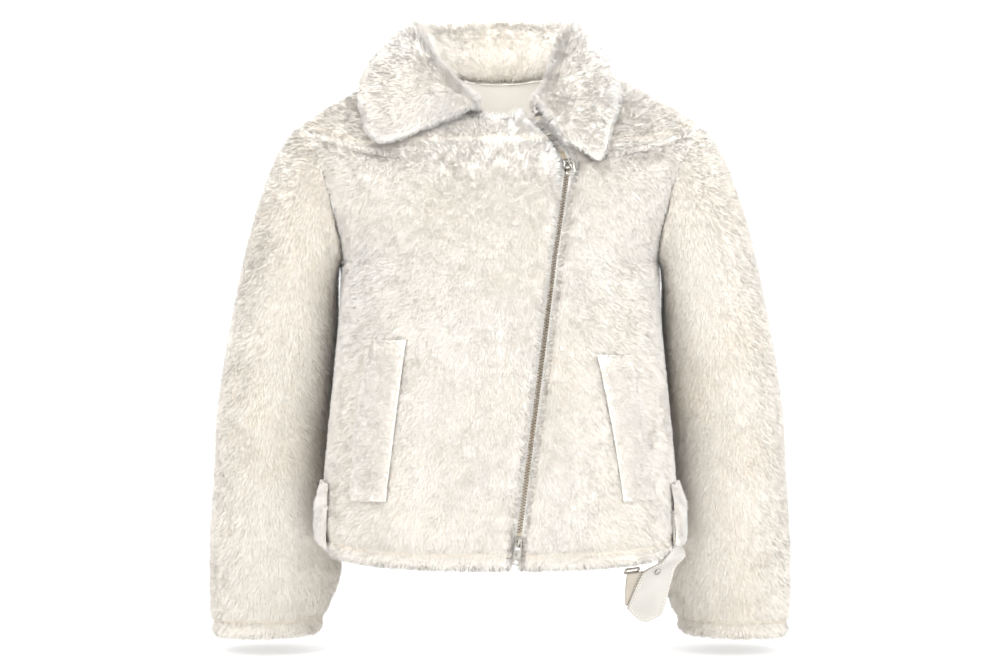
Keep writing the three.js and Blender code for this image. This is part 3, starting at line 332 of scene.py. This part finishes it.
def wall_faces(points, faces, kind):
    """Marks each face as outer (1), inner (-1) or edge (0)."""
    centres = points[faces].mean(1)
    normals = unit(face_normals(points, faces))
    away = dot(normals, unit(centres - axis_points(points, kind, centres)))[:, 0]
    tree = BVHTree.FromPolygons([Vector(p) for p in points], faces.tolist())
    marks = np.zeros(len(faces), int)
    for i, (centre, normal) in enumerate(zip(centres, normals)):
        hit = tree.ray_cast(Vector(centre - normal * 0.05 * MM), Vector(-normal), WALL_MOST)
        if hit[0] is not None and np.dot(normals[hit[2]], normal) < -0.35:
            marks[i] = 1 if away[i] > 0 else -1
    return marks


# Pile: blades that stand on a skin, lean with the nap and end where the solid does
BACKING = 2.5 * MM
ROOT_DEPTH = {"least": 1.5 * MM, "most": 5.6 * MM}
BLADE_POINTS = 3
ROUNDING = 0.7  # how far a point between the mesh's points is lifted to the round surface


class Skin:
    """The faces of a solid that show pile, with the smooth normal and the pile's root depth at each point."""

    def __init__(self, points, faces, shown, depth):
        self.points = points
        self.faces = faces[shown]
        self.normals = point_normals(points, self.faces)
        self.depth = depth

    def area(self):
        return float(np.linalg.norm(face_normals(self.points, self.faces), axis=1).sum() / 2)

    def spread(self, count, rng):
        """Evenly spread places: points, normals and root depths."""
        areas = np.linalg.norm(face_normals(self.points, self.faces), axis=1) / 2
        at = (np.arange(count) + rng.random(count)) / count * areas.sum()
        face = np.minimum(np.searchsorted(np.cumsum(areas), at), len(areas) - 1)
        turn = np.arange(count)
        first = (0.5 + turn * 0.7548776662466927) % 1
        second = (0.5 + turn * 0.5698402909980532) % 1
        root = np.sqrt(first)
        weights = np.stack([1 - root, root * (1 - second), root * second], 1)
        corners = self.faces[face]
        flat = sum(weights[:, k : k + 1] * self.points[corners[:, k]] for k in range(3))
        lifted = np.zeros_like(flat)
        for k in range(3):
            p = self.points[corners[:, k]]
            n = self.normals[corners[:, k]]
            lifted += weights[:, k : k + 1] * (flat - dot(flat - p, n) * n)
        normal = unit(sum(weights[:, k : k + 1] * self.normals[corners[:, k]] for k in range(3)))
        depth = sum(weights[:, k] * self.depth[corners[:, k]] for k in range(3))
        return flat + ROUNDING * (lifted - flat), normal, depth


def blades(name, skin, fur, look, nap, body, seed, reach=1.0, lean=0.6, tufts=18, shade=None, over=0.0):
    """A mesh of fine tapered blades of pile. fur says how many and how wide they are; nap gives the way they
    lie from points and normals; shade gives how much whiter, shorter or prouder they are at a place; over is
    how far they stand past the solid."""
    rng = np.random.default_rng(SEED + seed)
    count = int(skin.area() * fur["per_m2"])
    top, normal, depth = skin.spread(count, rng)
    tone, length, more = (0.0, 1.0, 0.0) if shade is None else shade(top, normal)
    depth = (depth * reach * length)[:, None]
    root = top - normal * depth
    lie = nap(top, normal)
    sway = np.stack([noise(top, 46 * MM, seed + k) for k in range(3)], 1)
    fine = np.stack([noise(top, 13 * MM, seed + 9 + k) for k in range(3)], 1)
    curl = np.stack([noise(top, 6 * MM, seed + 14 + k) for k in range(3)], 1)
    swirl = sway * 0.15 + fine * 0.2 + curl * 0.22 + rng.normal(0, 0.11, (count, 3))
    tilt = tangent_part(lie * lean + swirl, normal)
    bump = noise(top, 7 * MM, seed + 20)
    tall = 1 + 0.08 * rng.normal(size=(count, 1)) + 0.13 * bump[:, None]
    tip = root + (normal * np.clip(tall, 0.7, 1.15) + tilt) * depth
    past = np.broadcast_to(over + more, count)[:, None]
    tip += normal * past * (0.4 + 0.6 * rng.random((count, 1)))
    order = rng.permutation(count)[: max(1, count // tufts)]
    tree = KDTree(len(order))
    for i, k in enumerate(order):
        tree.insert(Vector(root[k]), i)
    tree.balance()
    nearest = np.array([tree.find(Vector(p))[1] for p in root])
    leader = order[nearest]
    pull = (0.08 + 0.22 * rng.random(len(order)))[nearest][:, None]
    tip = tip + (tip[leader] - tip) * pull
    from_leader = np.linalg.norm(root - root[leader], axis=1)
    along = unit(tip - root)
    side = unit(np.cross(along, normal) + rng.normal(0, 0.4, (count, 3)))
    side = unit(side - dot(side, along) * along)
    half = fur["width"] / 2 * (0.75 + 0.5 * rng.random((count, 1)))
    corners = np.stack([root - side * half, root + side * half, tip], 1)
    facing_out = np.cross(side, along)
    flip = dot(facing_out, normal)[:, 0] < 0
    corners[flip] = corners[flip][:, [1, 0, 2]]
    facing_out[flip] *= -1
    mesh = bpy.data.meshes.new(name)
    mesh.vertices.add(count * BLADE_POINTS)
    mesh.vertices.foreach_set("co", corners.ravel())
    mesh.loops.add(count * BLADE_POINTS)
    mesh.loops.foreach_set("vertex_index", np.arange(count * BLADE_POINTS, dtype=np.int32))
    mesh.polygons.add(count)
    mesh.polygons.foreach_set("loop_start", np.arange(count, dtype=np.int32) * BLADE_POINTS)
    mesh.polygons.foreach_set("use_smooth", np.ones(count, bool))
    mesh.materials.append(look)
    mesh.update(calc_edges=True)
    # Slow mottle and the random tone per blade and per tuft are the fur's own colour; the bump share darkens lower
    # blades and edge darkens blades away from their tuft's middle, painted shade in the pile's dips
    mottle = 0.18 * noise(top, 70 * MM, seed + 30) + 0.05 * noise(top, 12 * MM, seed + 31) + 0.1 * bump
    each = 0.06 * rng.normal(size=count) + 0.04 * rng.normal(size=len(order))[nearest]
    edge = -0.06 * smooth(from_leader / (2.5 * MM))
    whiteness = np.clip(0.5 + tone + mottle + each + edge, 0.01, 0.99)
    chart = mesh.uv_layers.new(name=PILE_CHART)
    u = np.repeat(whiteness, BLADE_POINTS)
    v = np.tile([0.02, 0.02, 0.98], count)
    chart.data.foreach_set("uv", np.stack([u, v], 1).ravel().astype(np.float32))
    soft = unit(normal + along * 0.1 + facing_out * 0.06 + rng.normal(0, 0.05, (count, 3)))
    lit = mesh.attributes.new(PILE_NORMAL, "FLOAT_VECTOR", "POINT")
    lit.data.foreach_set("vector", np.repeat(soft, BLADE_POINTS, 0).ravel().astype(np.float32))
    mesh.normals_split_custom_set_from_vertices(np.repeat(soft, BLADE_POINTS, 0).tolist())
    obj = new_object(name, mesh)
    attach(obj, body)
    return obj


def nap_down(points, normals):
    """The pile lies downwards along the cloth, and stands up more at the throat."""
    down = unit(tangent_part(np.broadcast_to([0.0, 0.0, -1.0], points.shape), normals) + 1e-6)
    return down * (1 - 0.7 * throat_share(points))[:, None]


# Cloth under the pile
INSET_ROUNDS = 7


def root_depths(points, faces, shown, root_of):
    """How far below each outer point the pile is rooted, from how thick the solid is there."""
    outer = faces[shown]
    normals = point_normals(points, outer)
    tree = BVHTree.FromPolygons([Vector(p) for p in points], faces.tolist())
    depth = np.zeros(len(points))
    for i in np.unique(outer):
        start = points[i] - normals[i] * 0.3 * MM
        inward = -normals[i]
        hit = tree.ray_cast(Vector(start), Vector(inward), 2 * WALL_MOST)
        thick = hit[3] if hit[0] is not None else ROOT_DEPTH["most"] + BACKING
        depth[i] = np.clip(root_of(thick), ROOT_DEPTH["least"], ROOT_DEPTH["most"])
    return depth, normals


def inset_points(points, faces, normals, depth):
    """The points moved in by the pile's depth, or by less where a face would turn over."""
    before = face_normals(points, faces)
    share = np.ones(len(points))
    for _ in range(INSET_ROUNDS):
        moved = points - normals * (depth * share)[:, None]
        turned = dot(face_normals(moved, faces), before)[:, 0] <= 0
        share[np.unique(faces[turned])] *= 0.5
    return moved


def free_edges(points, faces, marks):
    """Marks the faces at a wall's edges that no other piece is sewn to."""
    centres = points[faces].mean(1)
    normals = unit(face_normals(points, faces))
    free = np.zeros(len(faces), bool)
    for i in np.flatnonzero(marks == 0):
        start = Vector(centres[i] + normals[i] * 0.05 * MM)
        free[i] = all_fur.ray_cast(start, Vector(normals[i]), EDGE["room"])[0] is None
    return free


def fur_tree():
    """The solids that carry pile, as one tree for finding what is near."""
    points = []
    faces = []
    count = 0
    for node in FUR_NODES:
        p, f = node_mesh(node)
        points += [Vector(q) for q in p]
        faces += (f + count).tolist()
        count += len(p)
    return BVHTree.FromPolygons(points, faces)


FUR_NODES = ("front_right", "front_left", "back", "sleeve_right", "sleeve_left", "collar")
EDGE = {"room": 1.5 * MM, "root": 3.2 * MM, "over": 2.8 * MM}
EDGE_FUR = {"per_m2": 1100000, "width": 1.0 * MM}
LEAN = {"body": 0.65, "sleeve": 0.75}
OVER = 1.2 * MM  # how far the longest blades stand past the solid
# The turned band at a hem or cuff: how far up its stitched line lies, and how the pile changes there; darker is a
# painted shade in the stitched groove
BAND = {"body": 17 * MM, "sleeve": 20 * MM}
BAND_LOOK = {"reach": 40 * MM, "whiter": 0.08, "line": 2.4 * MM, "darker": 0.55, "shorter": 0.6}
THROAT_WALL = 1.5 * MM  # how much longer a front's own pile is at the throat
all_fur = fur_tree()


HANG = {"below": 40 * MM, "over": 4.5 * MM}
THROAT = {"from": -135 * MM, "reach": 40 * MM, "half": 88 * MM, "over": 3.0 * MM, "on_collar": 3.5 * MM}
SHUT = {"from": -82 * MM, "reach": 10 * MM, "over": 6.0 * MM}  # where the pile closes over the zip's top
ZIP_FUR = {"low": -485 * MM, "high": -112 * MM, "over": 2.0 * MM}


def band_shade(points, faces, free, line):
    """Whiter pile on the band below the stitched line, short pile with a painted shade along the line, and near the
    throat whiter pile, a painted light, that is a little longer.
    """
    normals = unit(face_normals(points, faces))
    rim = faces[free & (normals[:, 2] < -0.6)]
    corners = points[np.unique(rim)]
    tree = KDTree(len(corners))
    for i, corner in enumerate(corners):
        tree.insert(Vector(corner), i)
    tree.balance()
    top_of_band = corners[:, 2].max() + BAND_LOOK["reach"]

    def shade(top, normal):
        height = np.full(len(top), 1.0)
        for i in np.flatnonzero(top[:, 2] < top_of_band):
            _, at, _ = tree.find(Vector(top[i]))
            height[i] = top[i, 2] - corners[at, 2]
        line_share = np.exp(-(((height - line) / BAND_LOOK["line"]) ** 2))
        below = smooth((line - height) / (4 * MM))
        tone = BAND_LOOK["whiter"] * below - BAND_LOOK["darker"] * line_share + 0.25 * throat_share(top)
        return tone, 1 - BAND_LOOK["shorter"] * line_share, THROAT_WALL * throat_share(top)

    return shade


def wall_piece(node, kind, fur, seed):
    """A cut piece of plush: its cloth with the inner side bare, and its pile."""
    points, faces = node_mesh(node)
    marks = wall_faces(points, faces, kind)
    depth, normals = root_depths(points, faces, marks == 1, lambda thick: thick - BACKING)
    skin = Skin(points, faces, marks == 1, depth)
    cloth_points = inset_points(points, faces, normals, depth)
    free = free_edges(points, faces, marks)
    at_throat = throat_share(points[faces].mean(1)) > 0.5
    furry = free | ((marks == 0) & at_throat)
    # Cut edges sewn to another piece get the darker seam cloth, a painted shadow line along the seam
    sewn = (marks == 0) & ~furry
    slots = np.where(marks == -1, 1, np.where(sewn, 2, 0))
    cloth = mesh_object(f"{node}_cloth", cloth_points, faces, [fur_base, backing, shaded_seam_cloth], slots)
    sharp_from_angle(cloth, 50)
    band = band_shade(points, faces, free, BAND[kind])
    # Sleeves take the darker pile, a painted shade
    look = fur_pile if kind == "body" else shaded_sleeve_pile
    pile = [blades(f"{node}_pile", skin, fur, look, nap_down, "coat", seed, lean=LEAN[kind], shade=band,
                   over=OVER)]
    if furry.any():
        edge = Skin(points, faces, furry, np.full(len(points), EDGE["root"]))
        pile.append(blades(f"{node}_edge", edge, EDGE_FUR, look, nap_outwards, "coat", seed + 50, reach=1.6,
                           shade=edge_shade, over=EDGE["over"]))
    finish_cloth(cloth, node)


def solid_piece(node, look, fur, nap, seed, root_share, shown=None, shade=None, reach=1.0,
                over=0.0, lean=0.6):
    """A piece with pile on all sides but its hidden one, such as the collar or a welt."""
    points, faces = node_mesh(node)
    shown = np.ones(len(faces), bool) if shown is None else shown(points, faces)
    depth, normals = root_depths(points, faces, shown, lambda thick: thick * root_share)
    skin = Skin(points, faces, shown, depth)
    cloth_points = inset_points(points, faces, normals, depth)
    cloth = mesh_object(f"{node}_cloth", cloth_points, faces, [fur_base])
    sharp_from_angle(cloth, 50)
    pile = blades(f"{node}_pile", skin, fur, look, nap, "coat", seed, shade=shade, reach=reach, over=over,
                  lean=lean)
    finish_cloth(cloth, node)


def finish_cloth(cloth, node, body="coat"):
    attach(cloth, body)
    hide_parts(node)
    return cloth


# Seam cloth: a darker tan for sewn cut edges, a painted shadow line where one piece meets another
shaded_seam_cloth = woven_material("shaded_seam_cloth", (0.60, 0.54, 0.45), (0.68, 0.62, 0.53), 0.0016, 0.4)
fur_base = woven_material("fur_base", (0.92, 0.88, 0.81), (0.95, 0.92, 0.87), 0.004, 0.3)

# Smooth copies of the solids of cloth and metal
def quads_of(node):
    bm = bmesh.new()
    bm.from_mesh(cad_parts[node].data)
    bmesh.ops.remove_doubles(bm, verts=bm.verts, dist=0.01 * MM)
    return bm


def smooth_cloth(node, materials, levels, crease_angle=40, crease=0.85, fold=0.0, fold_size=20 * MM, slots=None):
    """A cloth piece rounded by subdivision, with its cut edges kept and a little unevenness."""
    bm = quads_of(node)
    bmesh.ops.join_triangles(
        bm, faces=bm.faces, angle_face_threshold=math.radians(40), angle_shape_threshold=math.radians(60)
    )
    layer = bm.edges.layers.float.get("crease_edge") or bm.edges.layers.float.new("crease_edge")
    for edge in bm.edges:
        if len(edge.link_faces) == 2 and edge.calc_face_angle() > math.radians(crease_angle):
            edge[layer] = crease
    mesh = bpy.data.meshes.new(f"{node}_cage")
    bm.to_mesh(mesh)
    bm.free()
    cage = new_object(f"{node}_cage", mesh)
    rounding = cage.modifiers.new("round", "SUBSURF")
    rounding.levels = levels
    rounding.render_levels = levels
    evaluated = cage.evaluated_get(bpy.context.evaluated_depsgraph_get())
    done = bpy.data.meshes.new_from_object(evaluated)
    bpy.data.objects.remove(cage)
    for material in materials:
        done.materials.append(material)
    done.polygons.foreach_set("use_smooth", np.ones(len(done.polygons), bool))
    if fold:
        flat = np.empty(len(done.vertices) * 3)
        done.vertices.foreach_get("co", flat)
        normals = np.array([v.normal for v in done.vertices])
        points = flat.reshape(-1, 3)
        shift = fold * (noise(points, fold_size, 7) + 0.4 * noise(points, fold_size / 3, 8))
        done.vertices.foreach_set("co", (points + normals * shift[:, None]).ravel())
    done.update()
    return new_object(f"{node}_cloth", done)


def bevelled_metal(node, look, width, body, segments=3):
    """A metal piece with its edges rounded."""
    bm = quads_of(node)
    bmesh.ops.dissolve_limit(bm, angle_limit=math.radians(4), verts=bm.verts, edges=bm.edges)
    mesh = bpy.data.meshes.new(f"{node}_round")
    bm.to_mesh(mesh)
    bm.free()
    mesh.materials.append(look)
    obj = new_object(f"{node}_round", mesh)
    rounding = obj.modifiers.new("round", "BEVEL")
    rounding.width = width
    rounding.segments = segments
    rounding.limit_method = "ANGLE"
    rounding.angle_limit = math.radians(35)
    evaluated = obj.evaluated_get(bpy.context.evaluated_depsgraph_get())
    done = bpy.data.meshes.new_from_object(evaluated)
    done.name = f"{node}_metal"
    bpy.data.objects.remove(obj)
    done.polygons.foreach_set("use_smooth", np.ones(len(done.polygons), bool))
    metal = new_object(f"{node}_metal", done)
    sharp_from_angle(metal, 50)
    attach(metal, body)
    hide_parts(node)
    return metal


# Stitches
STITCH = {"long": 2.6 * MM, "thick": 0.55 * MM}


def stitch_row(name, places, along, out, look, body, size=STITCH):
    """Short rounded stitches at the places, each lying along its row and a little proud."""
    rings = [(-1.0, 0.15), (-0.6, 0.8), (0.0, 1.0), (0.6, 0.8), (1.0, 0.15)]
    sides = 6
    points = []
    faces = []
    for place, a, n in zip(places, along, out):
        first = len(points)
        a = a / np.linalg.norm(a)
        n = n - np.dot(n, a) * a
        n = n / np.linalg.norm(n)
        b = np.cross(a, n)
        for reach, wide in rings:
            for k in range(sides):
                turn = 2 * math.pi * k / sides
                off = (b * math.cos(turn) + n * math.sin(turn)) * wide * size["thick"]
                points.append(place + a * reach * size["long"] / 2 + off)
        for r in range(len(rings) - 1):
            for k in range(sides):
                low = first + r * sides
                faces.append((low + k, low + (k + 1) % sides, low + sides + (k + 1) % sides, low + sides + k))
        faces.append(tuple(first + k for k in reversed(range(sides))))
        faces.append(tuple(first + (len(rings) - 1) * sides + k for k in range(sides)))
    obj = mesh_object(name, points, faces, [look])
    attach(obj, body)
    return obj


def rim_line(points, faces):
    """The outline of a patch of faces, as one closed line of point numbers: the longest there is."""
    ends = {}
    seen = {}
    for face in faces:
        for a, b in zip(face, np.roll(face, -1)):
            seen[(a, b)] = seen.get((a, b), 0) + 1
    for a, b in seen:
        if (b, a) not in seen:
            ends[a] = b
    longest = []
    while ends:
        start = next(iter(ends))
        line = [start]
        while line[-1] in ends:
            step = ends.pop(line[-1])
            if step == start:
                break
            line.append(step)
        if len(line) > len(longest):
            longest = line
    return longest


def inset_stitches(name, node, shown, inset, pitch, lift, look, body, keep=None, size=STITCH):
    """A row of stitches inside the outline of a node's shown face."""
    points, faces = node_mesh(node)
    patch = faces[shown(points, faces)]
    line = points[rim_line(points, patch)]
    normals = point_normals(points, patch)
    tree = BVHTree.FromPolygons([Vector(p) for p in points], patch.tolist())
    closed = np.vstack([line, line[:1]])
    lengths = np.concatenate([[0], np.cumsum(np.linalg.norm(np.diff(closed, axis=0), axis=1))])
    at = np.arange(pitch / 2, lengths[-1], pitch)
    middle = np.stack([np.interp(at, lengths, closed[:, k]) for k in range(3)], 1)
    before = np.stack([np.interp((at - 3 * MM) % lengths[-1], lengths, closed[:, k]) for k in range(3)], 1)
    after = np.stack([np.interp((at + 3 * MM) % lengths[-1], lengths, closed[:, k]) for k in range(3)], 1)
    along = unit(after - before)
    places = []
    ways = []
    outs = []
    for m, a in zip(middle, along):
        hit = tree.find_nearest(Vector(m))
        n = np.array(hit[1])
        inward = np.cross(n, a)
        target = tree.find_nearest(Vector(m + inward * inset))
        if keep is not None and not keep(np.array(target[0])):
            continue
        places.append(np.array(target[0]) + np.array(target[1]) * lift)
        ways.append(a)
        outs.append(np.array(target[1]))
    return stitch_row(name, places, ways, outs, look, body, size)


def facing(way, least=0.5):
    """Picks the faces whose normal is close to a direction."""
    def pick(points, faces):
        return (unit(face_normals(points, faces)) @ np.array(way)) > least
    return pick


# The coat
FRONT_FUR = {"per_m2": 950000, "width": 1.0 * MM}
SLEEVE_FUR = {"per_m2": 660000, "width": 1.12 * MM}
BACK_FUR = {"per_m2": 480000, "width": 1.2 * MM}
COLLAR_FUR = {"per_m2": 840000, "width": 1.05 * MM}
TRIM_FUR = {"per_m2": 1000000, "width": 1.0 * MM}


def nap_outwards(points, normals):
    """The collar's pile lies away from the neck and down."""
    away = points * np.array([1.0, 1.0, 0.0])
    return unit(tangent_part(unit(away) * 0.6 + np.array([0.0, 0.0, -0.8]), normals) + 1e-6)


def collar_shade(top, normal):
    """The collar's pile is a little whiter, and whiter again at the throat, a painted light; inside the neck it is
    darker and more tan, a painted shade, and hangs over the collar's seam.
    """
    inwards = -dot(normal, unit(top * np.array([1.0, 1.0, 0.0])))[:, 0]
    low = smooth((HANG["below"] - top[:, 2]) / (8 * MM)) * smooth(top[:, 1] / (20 * MM)) * smooth((inwards + 0.5) / 0.5)
    near = throat_share(top) * smooth((HANG["below"] - 35 * MM - top[:, 2]) / (20 * MM))
    tone = 0.1 - 0.2 * smooth((inwards - 0.1) / 0.5) + 0.2 * near
    return tone, 1.0, HANG["over"] * low + THROAT["on_collar"] * near


def throat_share(top):
    """How far each place belongs to the throat: 0 well below it or behind, 1 along it."""
    inside = smooth((THROAT["half"] - np.abs(top[:, 0])) / (15 * MM))
    in_front = smooth((-top[:, 1] - 60 * MM) / (15 * MM))
    return smooth((top[:, 2] - THROAT["from"]) / THROAT["reach"]) * inside * in_front


def edge_shade(top, normal):
    """Whiter pile along the throat, a painted light, that closes over the zip's top, and longer pile along the zip."""
    near = throat_share(top)
    shut = smooth((top[:, 2] - SHUT["from"]) / SHUT["reach"])
    beside = smooth((top[:, 2] - ZIP_FUR["low"]) / (15 * MM)) * smooth((ZIP_FUR["high"] - top[:, 2]) / (15 * MM))
    beside = beside * smooth((-top[:, 1] - 60 * MM) / (15 * MM)) * (np.abs(normal[:, 2]) < 0.6)
    more = near * (THROAT["over"] + SHUT["over"] * shut) + ZIP_FUR["over"] * beside
    return 0.3 * near, 1.0, more


def off_the_panel(points, faces):
    """The faces of a piece on the coat's side or front that don't lie on the coat."""
    centres = points[faces].mean(1)
    away = unit(centres * np.array([1.0, 1.0, 0.0]))
    return dot(unit(face_normals(points, faces)), away)[:, 0] > -0.5


wall_piece("front_right", "body", FRONT_FUR, 100)
wall_piece("front_left", "body", FRONT_FUR, 200)
wall_piece("back", "body", BACK_FUR, 300)
wall_piece("sleeve_right", "sleeve", SLEEVE_FUR, 400)
wall_piece("sleeve_left", "sleeve", SLEEVE_FUR, 500)
solid_piece("collar", fur_pile, COLLAR_FUR, nap_outwards, 600, 0.42, shade=collar_shade,
            over=1.5 * MM)
for side, seed in (("right", 700), ("left", 800)):
    solid_piece(
        f"welt_{side}", trim_pile, TRIM_FUR, nap_down, seed, 0.9, off_the_panel,
        reach=1.1, over=2.3 * MM, lean=0.45,
    )
    solid_piece(
        f"side_loop_{side}", trim_pile, TRIM_FUR, nap_down, seed + 50, 0.8,
        off_the_panel, over=1.2 * MM,
    )

# The smooth pieces: neck facing, strap and its tab, zip tapes
neck_facing = smooth_cloth("back_lining", [lining], 2, fold=0.35 * MM)
facing_stitches = inset_stitches(
    "facing_stitches", "back_lining", facing((0, -1, 0), 0.3), 3 * MM, 4 * MM, 0.2 * MM, thread, "coat"
)
finish_cloth(neck_facing, "back_lining")
strap = smooth_cloth("side_strap", [strap_suede], 2, fold=0.25 * MM)
strap_stitches = inset_stitches(
    "strap_stitches", "side_strap", facing((0.3, -1, 0), 0.3), 3.2 * MM, 3.8 * MM, 0.1 * MM, thread, "coat"
)
finish_cloth(strap, "side_strap")
tab = smooth_cloth("strap_tab", [tab_suede], 2, fold=0.2 * MM)
finish_cloth(tab, "strap_tab")
for side in ("right", "left"):
    tape = smooth_cloth(f"zip_tape_{side}", [zip_tape], 1)
    finish_cloth(tape, f"zip_tape_{side}")

# The metal pieces
BEVEL = 0.35 * MM
for node, body in (
    ("top_slider", "coat"),
    ("bottom_slider", "coat"),
    ("top_pull", "top_pull"),
    ("bottom_pull", "bottom_pull"),
    ("strap_buckle", "coat"),
    ("strap_snap", "coat"),
):
    bevelled_metal(node, polished, BEVEL, body)

# The zip's teeth: they alternate along the chain from one slider to the other
TOOTH = {"pitch": 1.55 * MM, "long": 3.3 * MM, "thick": 1.15 * MM, "rise": 1.7 * MM, "off": 0.95 * MM}


def chain_line(node, step):
    """Places along the middle of the chain's solid, with the directions across it and out of it."""
    points, faces = node_mesh(node)
    edges = np.unique(np.sort(np.vstack([faces[:, [0, 1]], faces[:, [1, 2]], faces[:, [2, 0]]]), axis=1), axis=0)
    a, b = points[edges[:, 0]], points[edges[:, 1]]
    low, high = points[:, 2].min() + 1 * MM, points[:, 2].max() - 1 * MM
    middles = []
    across = []
    for z in np.linspace(low, high, 80):
        cut = (a[:, 2] - z) * (b[:, 2] - z) < 0
        share = ((z - a[cut, 2]) / (b[cut, 2] - a[cut, 2]))[:, None]
        crossing = a[cut] + (b[cut] - a[cut]) * share
        centre = (crossing.min(0) + crossing.max(0)) / 2
        _, _, ways = np.linalg.svd(crossing - crossing.mean(0))
        middles.append(centre)
        across.append(ways[0] * np.sign(ways[0][0]))
    middles = np.array(middles)
    across = np.array(across)
    lengths = np.concatenate([[0], np.cumsum(np.linalg.norm(np.diff(middles, axis=0), axis=1))])
    at = np.arange(step, lengths[-1] - step, step)
    place = np.stack([np.interp(at, lengths, middles[:, k]) for k in range(3)], 1)
    side = unit(np.stack([np.interp(at, lengths, across[:, k]) for k in range(3)], 1))
    along = unit(np.gradient(place, axis=0))
    side = unit(tangent_part(side, along))
    return place, side, np.cross(side, along), along


def make_teeth():
    place, side, out, along = chain_line("zip_chain", TOOTH["pitch"])
    bm = bmesh.new()
    for i, (p, s, n, a) in enumerate(zip(place, side, out, along)):
        hand = 1 if i % 2 else -1
        tooth = bmesh.ops.create_cube(bm, size=1)["verts"]
        for v in tooth:
            x, y, z = v.co
            narrow = 0.62 if x * hand < 0 else 1.0
            q = p + s * (x * TOOTH["long"] + hand * TOOTH["off"]) + a * y * TOOTH["thick"] * narrow + n * z * TOOTH["rise"]
            v.co = Vector(q)
    bmesh.ops.recalc_face_normals(bm, faces=bm.faces)
    bmesh.ops.bevel(bm, geom=list(bm.edges), offset=0.22 * MM, segments=1, affect="EDGES")
    mesh = bpy.data.meshes.new("zip_teeth")
    bm.to_mesh(mesh)
    bm.free()
    mesh.materials.append(teeth_metal)
    teeth = new_object("zip_teeth", mesh)
    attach(teeth, "coat")
    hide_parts("zip_chain")


make_teeth()


# The studio: a pale floor just under the cuffs in a white room, and soft light from above and in front
FLOOR_Z = -656 * MM
EXPOSURE = 0.13
# A small lamp in the neck, aimed at the lining and the collar's inner side
NECK_LAMP = {"place": (0.005, -0.03, 0.035), "aim": (0.005, 0.07, 0.01), "size": 0.09, "power": 0.055}


def make_studio():
    floor_look, nodes, links, shader = principled("studio_white", 0.9)
    shader.inputs["Base Color"].default_value = (0.5, 0.5, 0.5, 1)
    shader.inputs["Emission Color"].default_value = (1, 1, 1, 1)
    shader.inputs["Emission Strength"].default_value = 0.52
    near, far, half = -3.2, 1.6, 4.0
    points = [(-half, near, FLOOR_Z), (half, near, FLOOR_Z), (half, far, FLOOR_Z), (-half, far, FLOOR_Z)]
    mesh_object("floor", points, [(0, 1, 2, 3)], [floor_look])
    world = bpy.data.worlds.new("world")
    bpy.context.scene.world = world
    world.use_nodes = True
    background = world.node_tree.nodes["Background"]
    background.inputs["Color"].default_value = (1, 1, 1, 1)
    background.inputs["Strength"].default_value = 1.25
    lamps = [
        ("key", (-1.6, -2.4, 1.9), 2.2, 55, (1.0, 0.995, 0.985)),
        ("fill", (2.0, -2.2, 0.8), 2.4, 40, (0.99, 0.995, 1.0)),
        ("top", (0.0, -0.7, 2.2), 2.0, 45, (1.0, 1.0, 1.0)),
    ]
    aim = Vector((0, 0, -0.3))
    for name, place, size, power, colour in lamps:
        data = bpy.data.lights.new(name, "AREA")
        data.size = size
        data.energy = power
        data.color = colour
        lamp = bpy.data.objects.new(name, data)
        lamp.location = place
        lamp.rotation_euler = (aim - Vector(place)).to_track_quat("-Z", "Y").to_euler()
        bpy.context.scene.collection.objects.link(lamp)
    data = bpy.data.lights.new("neck", "AREA")
    data.size = NECK_LAMP["size"]
    data.energy = NECK_LAMP["power"]
    lamp = bpy.data.objects.new("neck", data)
    lamp.location = NECK_LAMP["place"]
    lamp.rotation_euler = (Vector(NECK_LAMP["aim"]) - lamp.location).to_track_quat("-Z", "Y").to_euler()
    lamp.visible_camera = False
    bpy.context.scene.collection.objects.link(lamp)
    bpy.context.scene.view_settings.view_transform = "Standard"
    bpy.context.scene.view_settings.exposure = EXPOSURE


make_studio()
